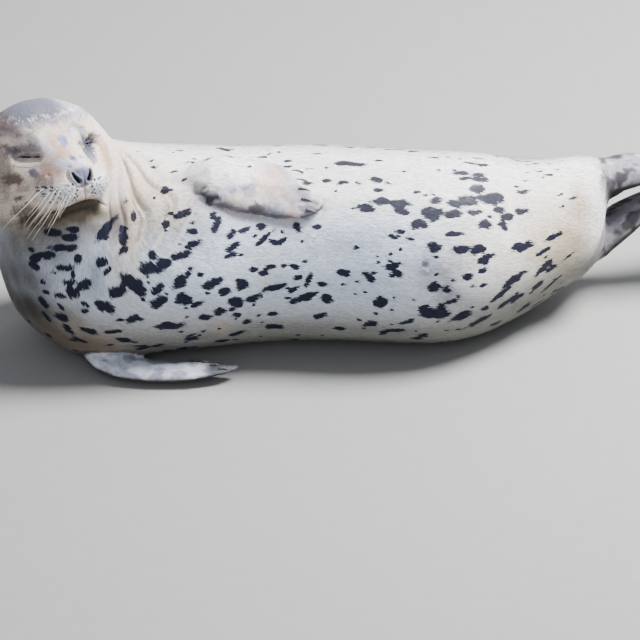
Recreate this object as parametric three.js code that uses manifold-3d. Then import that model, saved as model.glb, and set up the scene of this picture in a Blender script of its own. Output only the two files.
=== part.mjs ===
// A life-size harbor seal pup, resting on its right side with its belly towards -Y.
// Its head is held up and level, turned towards the belly, and its hind flippers are
// lifted behind it. The body is one smooth skin-tight form, given by a signed distance
// that is negative inside, and is parted into its named regions by thin flat cuts.
// Millimetres, +Z up, the floor at z = 0. X runs from the head (-) to the hind flippers (+).
import * as THREE from "three";
import { mergeVertices } from "three/addons/utils/BufferGeometryUtils.js";
import Module from "manifold-3d";

const wasm = await Module();
wasm.setup();

// ---- Driving dimensions ----

const GAP = 0.3; // between solids that touch
const FACET = { head: 6, neck: 13, chest: 17, belly: 18, hips: 13 }; // facet size, by region
const FLATTEN = { head: 0.14, trunk: 0.15 }; // share of a facet by which merging facets moves the surface

// The trunk's sections, from the chest to the rump: place along X, the section's centre
// in Y and Z, and its half depth (Y) and half height (Z). The belly hangs in towards
// the floor, so each centre lies lower than its half height and the floor cuts a flat.
const TRUNK = [
  { x: -262, y: -38, z: 114, deep: 128, high: 120 },
  { x: -204, y: -30, z: 117, deep: 134, high: 123 },
  { x: -144, y: -22, z: 115, deep: 133, high: 121 },
  { x: -66, y: -6, z: 110, deep: 127, high: 116 },
  { x: 0, y: -3, z: 110, deep: 127, high: 116 },
  { x: 72, y: -9, z: 110, deep: 128, high: 116 },
  { x: 144, y: -10, z: 108, deep: 125, high: 114 },
  { x: 192, y: 3, z: 105, deep: 118, high: 109 },
  { x: 240, y: 28, z: 100, deep: 105, high: 94 },
  { x: 276, y: 49, z: 100, deep: 91, high: 82 },
  { x: 304, y: 66, z: 105, deep: 79, high: 71 },
];
const CHEST_REACH = 118; // how far the rounded chest runs on past the first section
const RUMP_REACH = 38; // and the rump past the last
const SAG = 0.07; // how much wider a section is at the floor than at mid height

// The head's own frame: its centre, and the turns that carry a head facing -Y, level,
// to its pose. Forward, left and up are the animal's own.
const HEAD_AT = [-322, -70, 263.5];
const HEAD_FORWARD = [0.459, -0.837, 0.299];
const HEAD_UP = [-0.143, 0.263, 0.954];

// Eyes, in the head's frame.
const EYE_RADIUS = 15.5;
const EYE = { forward: 27.6, side: 28.2, up: 1.3 };
const EYE_LOOK = [0.72, 0.66, 0.2]; // the way the left eye looks; the right one mirrors it
const LID = 2.2; // thickness of a lid over the eye
const SLIT = { length: 25, open: 4.2, tilt: 0.2 }; // the narrowed opening between the lids

// The nose pad, and the arched line of the closed mouth: how far forward its corner is,
// the height of its peak, how fast it drops to the sides, and how far they reach.
const NOSE = { at: [92, 0, -18], size: [14, 14.5, 12] };
const MOUTH = { corner: 48, peak: -51, drop: 0.013, reach: 33 };

// The upper fore flipper lies over the trunk: a row for each point of its spine, with
// its place along X, how far round it is from the belly's middle in degrees, and its
// lift off the skin. The lower one lies on the floor, and the hind ones trail.
const FORE_LEFT = {
  over: [[-162, 62, -16], [-128, 60, 8], [-95, 59, 12], [-55, 57, 11], [-12, 54, 9]],
  across: [[0.1, -0.8, -0.6], [0, -0.83, -0.56]],
  bow: 0.0036,
  width: 37,
  thickness: 10.5,
};
const FORE_RIGHT = {
  spine: [[-236, -80, 30], [-268, -110, 20], [-236, -138, 13], [-178, -147, 11], [-120, -140, 14]],
  across: [[-0.7, -0.7, 0.1], [0.1, -1, 0.12]],
  bow: 0.002,
  width: 28,
  thickness: 12.5,
};
const HIND_ACROSS = [[0, -1, 0], [0.2, -1, 0.06]];
const HIND_LEFT = {
  spine: [[318, 78, 138], [350, 94, 149], [392, 108, 153], [448, 122, 154], [506, 138, 151]],
  across: HIND_ACROSS,
  bow: 0.0012,
};
const HIND_RIGHT = {
  spine: [[318, 90, 50], [348, 103, 67], [388, 112, 95], [442, 122, 115], [496, 136, 123]],
  across: HIND_ACROSS,
  bow: -0.0006,
};
const TAIL_SPINE = [[320, 104, 106], [344, 116, 114], [366, 126, 119], [388, 135, 122]];
const CLAWS = {
  fore_flipper_left: { from: 0.9, length: 19, radius: 2.7 },
  fore_flipper_right: { from: 0.9, length: 16, radius: 2.5 },
  hind_flipper_left: { from: 0.86, length: 16, radius: 2.1 },
  hind_flipper_right: { from: 0.86, length: 16, radius: 2.1 },
};

// Cuts between regions: each plane has a normal pointing towards the head, and its
// distance along that normal from the chest's centre.
const CHEST_CENTRE = [-262, -38, 120];
const HEAD_CUT = { normal: [-0.08, -0.12, 0.99], at: 99 };
const NECK_CUT = { normal: [-0.75, -0.2, 0.63], at: 59 };
const BELLY_FROM = -96; // along X
const HIPS_FROM = 150;

// ---- Vectors ----

const vec = (a) => new THREE.Vector3(...a);
const forward = vec(HEAD_FORWARD).normalize();
const up = vec(HEAD_UP).addScaledVector(forward, -vec(HEAD_UP).dot(forward)).normalize();
const left = up.clone().cross(forward);
const HEAD = { at: vec(HEAD_AT), axes: [forward, left, up] };
const BODY = {
  at: new THREE.Vector3(),
  axes: [vec([1, 0, 0]), vec([0, 1, 0]), vec([0, 0, 1])],
};

/** A point given in a frame's own axes, in world space. */
function placed(frame, [a, b, c]) {
  return frame.at
    .clone()
    .addScaledVector(frame.axes[0], a)
    .addScaledVector(frame.axes[1], b)
    .addScaledVector(frame.axes[2], c);
}

/** A direction given in a frame's own axes, in world space. */
function turned(frame, direction) {
  return placed({ at: new THREE.Vector3(), axes: frame.axes }, direction).normalize();
}

// ---- Distances, negative inside ----

/** An ellipsoid whose radii lie along a frame's axes. */
function ellipsoid(frame, centre, radii) {
  const c = placed(frame, centre);
  const [a, b, d] = frame.axes;
  return (p) => {
    const x = p.x - c.x;
    const y = p.y - c.y;
    const z = p.z - c.z;
    const u = (x * a.x + y * a.y + z * a.z) / radii[0];
    const v = (x * b.x + y * b.y + z * b.z) / radii[1];
    const w = (x * d.x + y * d.y + z * d.z) / radii[2];
    const k0 = Math.hypot(u, v, w);
    const k1 = Math.hypot(u / radii[0], v / radii[1], w / radii[2]);
    return k1 < 1e-9 ? -Math.min(...radii) : (k0 * (k0 - 1)) / k1;
  };
}

/** A rod with round ends whose radius runs evenly from r1 at one end to r2 at the other. */
function limb(frame, from, to, r1, r2) {
  const a = placed(frame, from);
  const along = placed(frame, to).sub(a);
  const span = along.lengthSq();
  return (p) => {
    const x = p.x - a.x;
    const y = p.y - a.y;
    const z = p.z - a.z;
    const t = Math.min(1, Math.max(0, (x * along.x + y * along.y + z * along.z) / span));
    const far = Math.hypot(x - along.x * t, y - along.y * t, z - along.z * t);
    return far - (r1 + (r2 - r1) * t);
  };
}

/** One dimension of the trunk at x, on a smooth curve through the sections. */
function trunkAt(x, key) {
  const last = TRUNK.length - 1;
  const at = Math.min(Math.max(x, TRUNK[0].x), TRUNK[last].x);
  const i = Math.min(last - 1, TRUNK.findLastIndex((s) => s.x <= at));
  const [p, q] = [TRUNK[i], TRUNK[i + 1]];
  const slope = (j) => {
    if (j === 0) return 0;
    if (j === last) return (TRUNK[last][key] - TRUNK[last - 1][key]) / (TRUNK[last].x - TRUNK[last - 1].x);
    return (TRUNK[j + 1][key] - TRUNK[j - 1][key]) / (TRUNK[j + 1].x - TRUNK[j - 1].x);
  };
  const step = q.x - p.x;
  const t = (at - p.x) / step;
  return (
    p[key] * (1 + 2 * t) * (1 - t) ** 2 +
    slope(i) * step * t * (1 - t) ** 2 +
    q[key] * t * t * (3 - 2 * t) +
    slope(i + 1) * step * t * t * (t - 1)
  );
}

/** The trunk, with a rounded chest and rump. */
function trunk(p) {
  const deep = trunkAt(p.x, "deep");
  const high = trunkAt(p.x, "high");
  const z = (p.z - trunkAt(p.x, "z")) / high;
  const y = (p.y - trunkAt(p.x, "y")) / (deep * (1 - SAG * Math.max(-1, Math.min(1, z))));
  const before = Math.max(0, TRUNK[0].x - p.x) / CHEST_REACH;
  const after = Math.max(0, p.x - TRUNK[TRUNK.length - 1].x) / RUMP_REACH;
  return (Math.hypot(y, z, before, after) - 1) * high;
}

/** The nearer of two distances, rounded where they meet over a band k wide. */
function join(a, b, k) {
  const h = Math.max(k - Math.abs(a - b), 0) / k;
  return Math.min(a, b) - (h * h * k) / 4;
}

const both = (f) => [f(1), f(-1)].flat(); // a left and a right copy

// What the body is made of, each with the band over which it flows into the rest.
const FLESH = [
  // the neck, its nape and the loose skin under the throat
  [limb(BODY, [-268, -38, 128], [-330, -46, 222], 108, 76), 40],
  [ellipsoid(BODY, [-296, -62, 174], [78, 84, 66]), 30],
  // skull, cheeks and jaws
  [ellipsoid(HEAD, [-15, 0, 1], [62, 73, 58]), 24],
  ...both((side) => [[ellipsoid(HEAD, [-2, side * 41, -24], [50, 37, 40]), 18]]),
  [limb(HEAD, [26, 0, 0], [77, 0, -16], 33, 17), 24],
  [ellipsoid(HEAD, [48, 0, -31], [42, 42, 27]), 18],
  [ellipsoid(HEAD, [36, 0, -50], [47, 41, 24]), 16],
  ...both((side) => [[ellipsoid(HEAD, [73, side * 18, -35], [24, 22, 18]), 10]]),
  [ellipsoid(HEAD, [86, 0, -19], [13, 14, 11.5]), 8],
  [ellipsoid(HEAD, [68, 0, -58], [19, 19, 12]), 8],
  // brows, and the lids that bulge over the eyes
  ...both((side) => [[ellipsoid(HEAD, [29, side * 26, 19], [22, 19, 14]), 16]]),
  ...both((side) => [
    [ellipsoid(HEAD, [EYE.forward, side * EYE.side, EYE.up], Array(3).fill(EYE_RADIUS + LID)), 6],
  ]),
  // shoulder over the upper fore flipper, and the one the chest rests on
  [ellipsoid(BODY, [-160, -78, 196], [52, 40, 32]), 34],
  [ellipsoid(BODY, [-250, -84, 40], [46, 40, 34]), 30],
  // the two ankles
  [limb(BODY, [270, 50, 112], [334, 86, 150], 60, 26), 34],
  [limb(BODY, [270, 56, 84], [334, 98, 58], 52, 26), 34],
];

/** The whole body but the flippers and tail. */
function body(p) {
  return FLESH.reduce((d, [shape, k]) => join(d, shape(p), k), trunk(p));
}

// ---- From distances to meshes ----

/** The way out of the form at p. */
function outward(field, p) {
  const h = 0.5;
  const q = new THREE.Vector3();
  const side = (x, y, z) => field(q.set(p.x + x, p.y + y, p.z + z));
  return new THREE.Vector3(
    side(h, 0, 0) - side(-h, 0, 0),
    side(0, h, 0) - side(0, -h, 0),
    side(0, 0, h) - side(0, 0, -h),
  ).divideScalar(2 * h);
}

const CORNERS = [0, 1, 2, 3, 4, 5, 6, 7].map((n) => [n & 1, (n >> 1) & 1, (n >> 2) & 1]);
const EDGES = CORNERS.flatMap((a, i) =>
  CORNERS.flatMap((b, j) => {
    const apart = Math.abs(a[0] - b[0]) + Math.abs(a[1] - b[1]) + Math.abs(a[2] - b[2]);
    return j > i && apart === 1 ? [[i, j]] : [];
  }),
);

/** A closed mesh of field = 0 inside a box, as a surface net of square cells. */
function net(field, box, cell) {
  const size = box.getSize(new THREE.Vector3()).divideScalar(cell);
  const n = [size.x, size.y, size.z].map((s) => Math.ceil(s) + 3);
  const at = (i, j, k) => (k * n[1] + j) * n[0] + i;
  const point = (i, j, k) =>
    new THREE.Vector3(i - 1, j - 1, k - 1).multiplyScalar(cell).add(box.min);
  const values = new Float32Array(n[0] * n[1] * n[2]);
  for (let k = 0; k < n[2]; k++)
    for (let j = 0; j < n[1]; j++)
      for (let i = 0; i < n[0]; i++) {
        const p = point(i, j, k);
        values[at(i, j, k)] = box.containsPoint(p) ? field(p) : cell;
      }
  const vertex = new Map();
  const positions = [];
  for (let k = 0; k < n[2] - 1; k++)
    for (let j = 0; j < n[1] - 1; j++)
      for (let i = 0; i < n[0] - 1; i++) {
        const v = CORNERS.map(([a, b, c]) => values[at(i + a, j + b, k + c)]);
        const cut = EDGES.filter(([a, b]) => v[a] < 0 !== v[b] < 0);
        if (!cut.length) continue;
        const p = new THREE.Vector3();
        for (const [a, b] of cut) {
          const t = v[a] / (v[a] - v[b]);
          CORNERS[a].forEach((from, axis) => {
            p.setComponent(axis, p.getComponent(axis) + from + (CORNERS[b][axis] - from) * t);
          });
        }
        p.divideScalar(cut.length).add(new THREE.Vector3(i - 1, j - 1, k - 1));
        p.multiplyScalar(cell).add(box.min);
        settle(field, p, box, cell);
        vertex.set(at(i, j, k), positions.length / 3);
        positions.push(p.x, p.y, p.z);
      }
  const index = [];
  const quad = (flip, ...corners) => {
    const [a, b, c, d] = corners.map((q) => vertex.get(q));
    index.push(...(flip ? [a, b, c, a, c, d] : [a, c, b, a, d, c]));
  };
  for (let k = 0; k < n[2] - 1; k++)
    for (let j = 0; j < n[1] - 1; j++)
      for (let i = 0; i < n[0] - 1; i++) {
        const inside = values[at(i, j, k)] < 0;
        if (j && k && inside !== values[at(i + 1, j, k)] < 0)
          quad(inside, at(i, j - 1, k - 1), at(i, j, k - 1), at(i, j, k), at(i, j - 1, k));
        if (i && k && inside !== values[at(i, j + 1, k)] < 0)
          quad(inside, at(i - 1, j, k - 1), at(i - 1, j, k), at(i, j, k), at(i, j, k - 1));
        if (i && j && inside !== values[at(i, j, k + 1)] < 0)
          quad(inside, at(i - 1, j - 1, k), at(i, j - 1, k), at(i, j, k), at(i - 1, j, k));
      }
  return new THREE.BufferGeometry()
    .setAttribute("position", new THREE.Float32BufferAttribute(positions, 3))
    .setIndex(index);
}

/** Moves p onto the surface, unless it lies on a side of the box. */
function settle(field, p, box, cell) {
  const inner = box.clone().expandByScalar(-cell);
  if (!inner.containsPoint(p)) return;
  for (let step = 0; step < 3; step++) {
    const way = outward(field, p);
    p.addScaledVector(way, -field(p) / Math.max(way.lengthSq(), 0.1));
  }
}

/** A geometry as a solid that can be joined and cut. */
function solid(geometry) {
  const g = geometry.clone();
  g.deleteAttribute("normal");
  g.deleteAttribute("uv");
  const merged = mergeVertices(g, 1e-3);
  return new wasm.Manifold(
    new wasm.Mesh({
      numProp: 3,
      vertProperties: merged.attributes.position.array,
      triVerts: new Uint32Array(merged.index.array),
    }),
  );
}

/** The largest of a solid's separate bodies. */
function largest(made) {
  return made.decompose().sort((a, b) => b.volume() - a.volume())[0];
}

/** A solid as a three.js geometry. */
function geometryOf(made) {
  const mesh = made.getMesh();
  return new THREE.BufferGeometry()
    .setAttribute("position", new THREE.BufferAttribute(new Float32Array(mesh.vertProperties), 3))
    .setIndex(new THREE.BufferAttribute(new Uint32Array(mesh.triVerts), 1));
}

// ---- Lofts: flippers, tail and claws ----

/** A value on a smooth curve through [place, value] pairs. */
function eased(pairs, t) {
  const i = Math.min(pairs.length - 2, Math.max(0, pairs.findLastIndex(([at]) => at <= t)));
  const [[a, from], [b, to]] = [pairs[i], pairs[i + 1]];
  const s = THREE.MathUtils.clamp((t - a) / (b - a), 0, 1);
  return from + (to - from) * s * s * (3 - 2 * s);
}

/**
 * A closed loft along a spine. Its section is an ellipse, half as wide as `wide` and
 * half as thick as `thick`, turned so that its width follows `across`. `reach` moves a
 * point along the spine by its place across the section, and `relief` thickens it there.
 */
function loft({ spine, across, wide, thick, reach, relief = () => 1, rings, sides, bow = 0 }) {
  const curve = new THREE.CatmullRomCurve3(spine.map(vec), false, "centripetal");
  const length = curve.getLength();
  const positions = [];
  const ring = (t) => {
    const centre = curve.getPointAt(t);
    const along = curve.getTangentAt(t);
    const over = vec(across[0]).lerp(vec(across[1]), t);
    over.addScaledVector(along, -over.dot(along)).normalize();
    const out = over.clone().cross(along);
    for (let j = 0; j < sides; j++) {
      const angle = (2 * Math.PI * j) / sides;
      const side = Math.cos(angle);
      const w = wide(t) * side;
      const h = thick(t) * Math.sin(angle) * relief(t, side);
      const p = centre.clone().addScaledVector(over, w);
      p.addScaledVector(out, h - bow * w * w);
      p.addScaledVector(along, reach(t, side) * length);
      positions.push(p.x, p.y, p.z);
    }
  };
  for (let i = 0; i <= rings; i++) ring(0.5 - 0.5 * Math.cos((Math.PI * (i + 0.35)) / (rings + 0.7)));
  const index = [];
  for (let i = 0; i < rings; i++)
    for (let j = 0; j < sides; j++) {
      const k = (j + 1) % sides;
      const [a, b] = [i * sides, (i + 1) * sides];
      index.push(a + j, b + k, a + k, a + j, b + j, b + k);
    }
  const cap = (first, atEnd) => {
    const centre = new THREE.Vector3();
    for (let j = 0; j < sides; j++) centre.add(new THREE.Vector3().fromArray(positions, 3 * (first + j)));
    centre.divideScalar(sides);
    const middle = positions.length / 3;
    positions.push(centre.x, centre.y, centre.z);
    for (let j = 0; j < sides; j++) {
      const [a, b] = [first + j, first + ((j + 1) % sides)];
      index.push(middle, ...(atEnd ? [b, a] : [a, b]));
    }
  };
  cap(0, false);
  cap(rings * sides, true);
  return solid(
    new THREE.BufferGeometry()
      .setAttribute("position", new THREE.Float32BufferAttribute(positions, 3))
      .setIndex(index),
  );
}

const DIGITS = [0, 1, 2, 3, 4];
const digitSide = (digit) => -0.8 + 0.4 * digit; // a digit's place across the flipper, -1 to 1
const round = (t, from, power) => (t < from ? 1 : (1 - ((t - from) / (1 - from)) ** power) ** (1 / power));

/** How the flesh swells over the digits towards a flipper's tip. */
const digitRelief = (t, side) => 1 + 0.22 * t * Math.cos(5 * Math.PI * (side + 1) - Math.PI);

/** How the digits' ends stand out past the web between them. */
const scallop = (t, side) => 0.012 * t ** 6 * Math.cos(5 * Math.PI * (side + 1) - Math.PI);

/** A fore flipper: its first digit, on the +1 side, is the longest. */
function foreFlipper({ spine, across, bow, width, thickness }) {
  const widths = [[0, 0.6], [0.2, 0.85], [0.5, 1], [0.8, 1], [1, 0.9]];
  return {
    spine,
    across,
    bow,
    wide: (t) => width * eased(widths, t) * round(t, 0.8, 3),
    thick: (t) => thickness * eased([[0, 1.2], [0.3, 1], [0.7, 0.65], [1, 0.35]], t) * round(t, 0.85, 3),
    reach: (t, side) => 0.14 * side * t * t + scallop(t, side),
    relief: digitRelief,
    rings: 13,
    sides: 20,
  };
}

/** A hind flipper: its outer digits are the longest, so its end is hollow. */
function hindFlipper({ spine, across, bow }) {
  return {
    spine,
    across,
    bow,
    wide: (t) => eased([[0, 24], [0.2, 27], [0.5, 30], [0.85, 41], [1, 42]], t) * round(t, 0.86, 3.2),
    thick: (t) => eased([[0, 25], [0.25, 21], [0.6, 9], [1, 4]], t) * round(t, 0.85, 3),
    reach: (t, side) => 0.15 * (side * side - 0.5) * t ** 3 + scallop(t, side),
    relief: digitRelief,
    rings: 13,
    sides: 22,
  };
}

/** A claw at a digit's end, lying along its back and curving down past its edge. */
function claw(flipper, digit, { from, length, radius }) {
  const curve = new THREE.CatmullRomCurve3(flipper.spine.map(vec), false, "centripetal");
  const side = digitSide(digit) * 0.93;
  const along = curve.getTangentAt(from);
  const over = vec(flipper.across[0]).lerp(vec(flipper.across[1]), from);
  over.addScaledVector(along, -over.dot(along)).normalize();
  const out = over.clone().cross(along);
  const w = flipper.wide(from) * side;
  const height = flipper.thick(from) * flipper.relief(from, side) * Math.sqrt(1 - side * side);
  const base = curve
    .getPointAt(from)
    .addScaledVector(over, w)
    .addScaledVector(out, height - flipper.bow * w * w)
    .addScaledVector(along, flipper.reach(from, side) * curve.getLength());
  const way = along.clone().addScaledVector(over, 0.15 * side).addScaledVector(out, -0.1).normalize();
  const bend = (s) =>
    base.clone().addScaledVector(way, length * s).addScaledVector(out, -0.22 * length * s * s).toArray();
  return loft({
    spine: [bend(0), bend(0.35), bend(0.7), bend(1)],
    across: [over.toArray(), over.toArray()],
    wide: (t) => radius * (1 - 0.82 * t ** 1.3),
    thick: (t) => radius * 0.9 * (1 - 0.82 * t ** 1.3),
    reach: () => 0,
    rings: 4,
    sides: 6,
  });
}

// ---- The body's regions ----

const REACH = 450; // past either end of the body
const SIDES = { near: -200, far: 190, top: 345 }; // past its belly, its back and its crown
const BELOW = -30; // under the floor, where the flat is cut

/** A stretch of the body, from one place along X to another and up from a height. */
function stretch(from, to, floor, facet, flatten = FLATTEN.trunk) {
  const box = new THREE.Box3(vec([from, SIDES.near, floor]), vec([to, SIDES.far, SIDES.top]));
  return solid(net(body, box, facet)).simplify(facet * flatten);
}

/** Keeps what lies beyond a plane through the chest, on the head's side or the tail's. */
function cutBy(made, { normal, at }, towardsHead) {
  const n = vec(normal).normalize();
  const offset = n.dot(vec(CHEST_CENTRE)) + at;
  const way = towardsHead ? n : n.clone().negate();
  const from = (towardsHead ? offset : -offset) + GAP / 2;
  return made.trimByPlane(way.toArray(), from);
}
const between = (made, from, to) =>
  made.trimByPlane([1, 0, 0], from + GAP / 2).trimByPlane([-1, 0, 0], -to + GAP / 2);
const onFloor = (made) => made.trimByPlane([0, 0, 1], 0);

const crown = stretch(-REACH, -180, 160, FACET.head, FLATTEN.head);
const throat = stretch(-REACH, -150, 0, FACET.neck);
const front = stretch(-REACH, BELLY_FROM + 2 * FACET.chest, BELOW, FACET.chest);
const middle = stretch(BELLY_FROM - 2 * FACET.belly, HIPS_FROM + 2 * FACET.belly, BELOW, FACET.belly);
const rear = stretch(HIPS_FROM - 2 * FACET.hips, REACH, BELOW, FACET.hips);
let head = cutBy(cutBy(crown, HEAD_CUT, true), NECK_CUT, true);
const neck = cutBy(cutBy(throat, HEAD_CUT, false), NECK_CUT, true);
const chest = onFloor(between(cutBy(front, NECK_CUT, false), -REACH, BELLY_FROM));
const belly = onFloor(between(middle, BELLY_FROM, HIPS_FROM));
const hips = onFloor(between(rear, HIPS_FROM, REACH));

/** A solid moved out all over, to clear what grows from the body. */
function swollen(made, by) {
  return made.warp((v) => {
    const out = outward(body, vec(v)).setLength(by);
    out.toArray().forEach((step, axis) => (v[axis] += step));
  });
}

// ---- Face ----

/** A mesh's solid, moved from a frame's axes to world space. */
function stand(geometry, frame, centre) {
  const turn = new THREE.Matrix4().makeBasis(...frame.axes);
  const g = geometry.clone().applyMatrix4(turn);
  const at = placed(frame, centre);
  return solid(g.translate(at.x, at.y, at.z));
}

/** The opening between the lids: an almond, pushed out from inside the eye. */
function slit(look) {
  const { length, open, tilt } = SLIT;
  const outline = new THREE.Shape();
  outline.moveTo(-length / 2, 0);
  outline.quadraticCurveTo(0, open, length / 2, 0);
  outline.quadraticCurveTo(0, -open, -length / 2, 0);
  const pushed = new THREE.ExtrudeGeometry(outline, { depth: 30, bevelEnabled: false, curveSegments: 6 });
  const out = turned(HEAD, look);
  const level = turned(HEAD, [0, Math.cos(tilt), Math.sin(tilt) * Math.sign(look[1])]);
  level.addScaledVector(out, -level.dot(out)).normalize();
  const basis = new THREE.Matrix4().makeBasis(level, out.clone().cross(level), out);
  return { pushed, basis };
}

const eyes = {};
for (const [name, side] of [["left", 1], ["right", -1]]) {
  const centre = [EYE.forward, side * EYE.side, EYE.up];
  const at = placed(HEAD, centre);
  const ball = (r, detail) => solid(new THREE.IcosahedronGeometry(r, detail).translate(at.x, at.y, at.z));
  const { pushed, basis } = slit([EYE_LOOK[0], side * EYE_LOOK[1], EYE_LOOK[2]]);
  const opening = solid(pushed.applyMatrix4(basis).translate(at.x, at.y, at.z));
  eyes[name] = ball(EYE_RADIUS, 2);
  head = head.subtract(ball(EYE_RADIUS + GAP, 3)).subtract(opening);
}

/** The ellipsoid that parts the nose pad from the head. */
const noseBlob = (grow) =>
  stand(new THREE.SphereGeometry(1, 18, 12).scale(...NOSE.size.map((r) => r + grow)), HEAD, NOSE.at);

/** A block whose top is the arch of the mouth, so that what it holds is the lower jaw. */
function jawBlock(grow) {
  const { corner, peak, drop, reach } = MOUTH;
  const outline = new THREE.Shape();
  outline.moveTo(-reach, -110);
  for (let i = 0; i <= 12; i++) {
    const across = reach * (i / 6 - 1);
    outline.lineTo(across, peak - drop * across * across + grow);
  }
  outline.lineTo(reach, -110);
  const block = new THREE.ExtrudeGeometry(outline, { depth: 90, bevelEnabled: false });
  // Extruded along its own Z, which becomes the head's forward axis.
  const [f, l, u] = HEAD.axes;
  block.applyMatrix4(new THREE.Matrix4().makeBasis(l, u, f));
  const at = placed(HEAD, [corner - grow, 0, 0]);
  return solid(block.translate(at.x, at.y, at.z));
}
const nose = largest(head.intersect(noseBlob(0)));
const lowerJaw = largest(head.intersect(jawBlock(0)));
head = largest(head.subtract(noseBlob(GAP)).subtract(jawBlock(GAP)));

// ---- Flippers and tail ----

/** A point over the trunk's surface at x, so far round from the belly's middle. */
function over(x, degrees, lift) {
  const angle = THREE.MathUtils.degToRad(degrees);
  const from = vec([x, trunkAt(x, "y"), trunkAt(x, "z")]);
  const way = vec([0, -Math.cos(angle), Math.sin(angle)]);
  const p = from.clone().addScaledVector(way, 60);
  for (let i = 0; i < 40; i++) p.addScaledVector(way, -body(p) * 0.9);
  return p.addScaledVector(outward(body, p).normalize(), lift).toArray();
}

const foreLeft = foreFlipper({ ...FORE_LEFT, spine: FORE_LEFT.over.map((place) => over(...place)) });
const tail = {
  spine: TAIL_SPINE,
  across: [[0, 0, 1], [0, 0, 1]],
  wide: (t) => eased([[0, 14], [0.5, 12], [1, 8]], t) * round(t, 0.6, 2),
  thick: (t) => eased([[0, 12], [1, 5]], t) * round(t, 0.6, 2),
  reach: () => 0,
  rings: 7,
  sides: 14,
};

const grown = {
  fore_flipper_left: foreLeft,
  fore_flipper_right: foreFlipper(FORE_RIGHT),
  hind_flipper_left: hindFlipper(HIND_LEFT),
  hind_flipper_right: hindFlipper(HIND_RIGHT),
  tail,
};

// ---- The model ----

const COAT = new THREE.MeshStandardMaterial({ color: 0xd9d5cc, roughness: 0.75 });
const MUZZLE = new THREE.MeshStandardMaterial({ color: 0xc4bcae, roughness: 0.7 });
const LEATHER = new THREE.MeshStandardMaterial({ color: 0x5a5c63, roughness: 0.45 });
const FLIPPER = new THREE.MeshStandardMaterial({ color: 0x9a98a0, roughness: 0.65 });
const HORN = new THREE.MeshStandardMaterial({ color: 0x6b6258, roughness: 0.4 });
const EYE_BALL = new THREE.MeshStandardMaterial({ color: 0x0e0c0c, roughness: 0.08 });

const seal = new THREE.Group();
function node(name, made, material) {
  const mesh = new THREE.Mesh(geometryOf(largest(made)), material);
  mesh.name = name;
  seal.add(mesh);
}

node("head", head, COAT);
node("lower_jaw", lowerJaw, MUZZLE);
node("nose", nose, LEATHER);
node("eye_left", eyes.left, EYE_BALL);
node("eye_right", eyes.right, EYE_BALL);
node("neck", neck, COAT);
node("chest", chest, COAT);
node("belly", belly, COAT);
node("hips", hips, COAT);
const clear = (made, part) => made.subtract(swollen(part, 2 * GAP));
for (const [name, shape] of Object.entries(grown)) {
  const made = largest(onFloor([chest, belly, hips].reduce(clear, loft(shape).simplify(0.15))));
  node(name, made, FLIPPER);
  if (!CLAWS[name]) continue;
  for (const digit of DIGITS)
    node(`${name}_claw_${5 - digit}`, onFloor(claw(shape, digit, CLAWS[name]).subtract(made)), HORN);
}

// The origin is on the floor, under the middle of the model's box.
const bounds = new THREE.Box3().setFromObject(seal);
const centre = bounds.getCenter(new THREE.Vector3());
seal.position.set(-centre.x, -centre.y, -bounds.min.z);

export default seal;
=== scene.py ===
"""A life-size young harbor seal resting on its side, its head raised and turned.

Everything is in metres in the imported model's frame. Shapes and marks are placed in the
animal's own millimetres: x along the trunk, an angle round from the middle of the
belly, and for the face the head's axes (forward, left, up) from the head's centre.
"""
import math

import bmesh
import bpy
import numpy as np
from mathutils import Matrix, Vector
from mathutils.bvhtree import BVHTree


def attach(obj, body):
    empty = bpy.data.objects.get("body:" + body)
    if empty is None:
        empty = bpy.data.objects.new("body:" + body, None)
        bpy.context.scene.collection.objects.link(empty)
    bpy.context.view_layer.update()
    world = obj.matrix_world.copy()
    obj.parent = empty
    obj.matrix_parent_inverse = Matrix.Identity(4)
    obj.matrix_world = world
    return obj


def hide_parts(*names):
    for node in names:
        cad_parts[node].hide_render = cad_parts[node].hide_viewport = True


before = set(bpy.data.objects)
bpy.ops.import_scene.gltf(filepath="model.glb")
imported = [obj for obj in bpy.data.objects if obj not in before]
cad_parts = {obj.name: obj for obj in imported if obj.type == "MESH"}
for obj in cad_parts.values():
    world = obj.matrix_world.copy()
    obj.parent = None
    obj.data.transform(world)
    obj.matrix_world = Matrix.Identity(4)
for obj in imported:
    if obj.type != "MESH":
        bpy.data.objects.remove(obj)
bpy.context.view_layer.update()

MM = 0.001
SEED = 7


# ---- Numbers and frames ----

def unit(v):
    v = np.asarray(v, float)
    return v / np.maximum(np.linalg.norm(v, axis=-1, keepdims=True), 1e-9)


def ramp(x, start, end):
    """0 before start and 1 after end, smoothly. start may be the larger."""
    t = np.clip((x - start) / (end - start), 0, 1)
    return t * t * (3 - 2 * t)


def size_of(v):
    """The length of each row."""
    return np.linalg.norm(v, axis=1)


def bell(x, width):
    return np.exp(-((x / width) ** 2))


def linear(*srgb):
    """Linear light of a 0 to 255 display colour."""
    c = np.array(srgb, float) / 255
    return np.where(c < 0.04045, c / 12.92, ((c + 0.055) / 1.055) ** 2.4)


def waves(p, scale, seed):
    """A smooth wandering between -1 and 1, with features about scale across."""
    rng = np.random.default_rng(seed)
    total = np.zeros(len(p))
    for _ in range(7):
        way = unit(rng.normal(size=3)) * rng.uniform(0.6, 1.5) * 2 * math.pi / scale
        total += np.sin(p @ way + rng.uniform(0, 2 * math.pi))
    return total / 4


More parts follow.
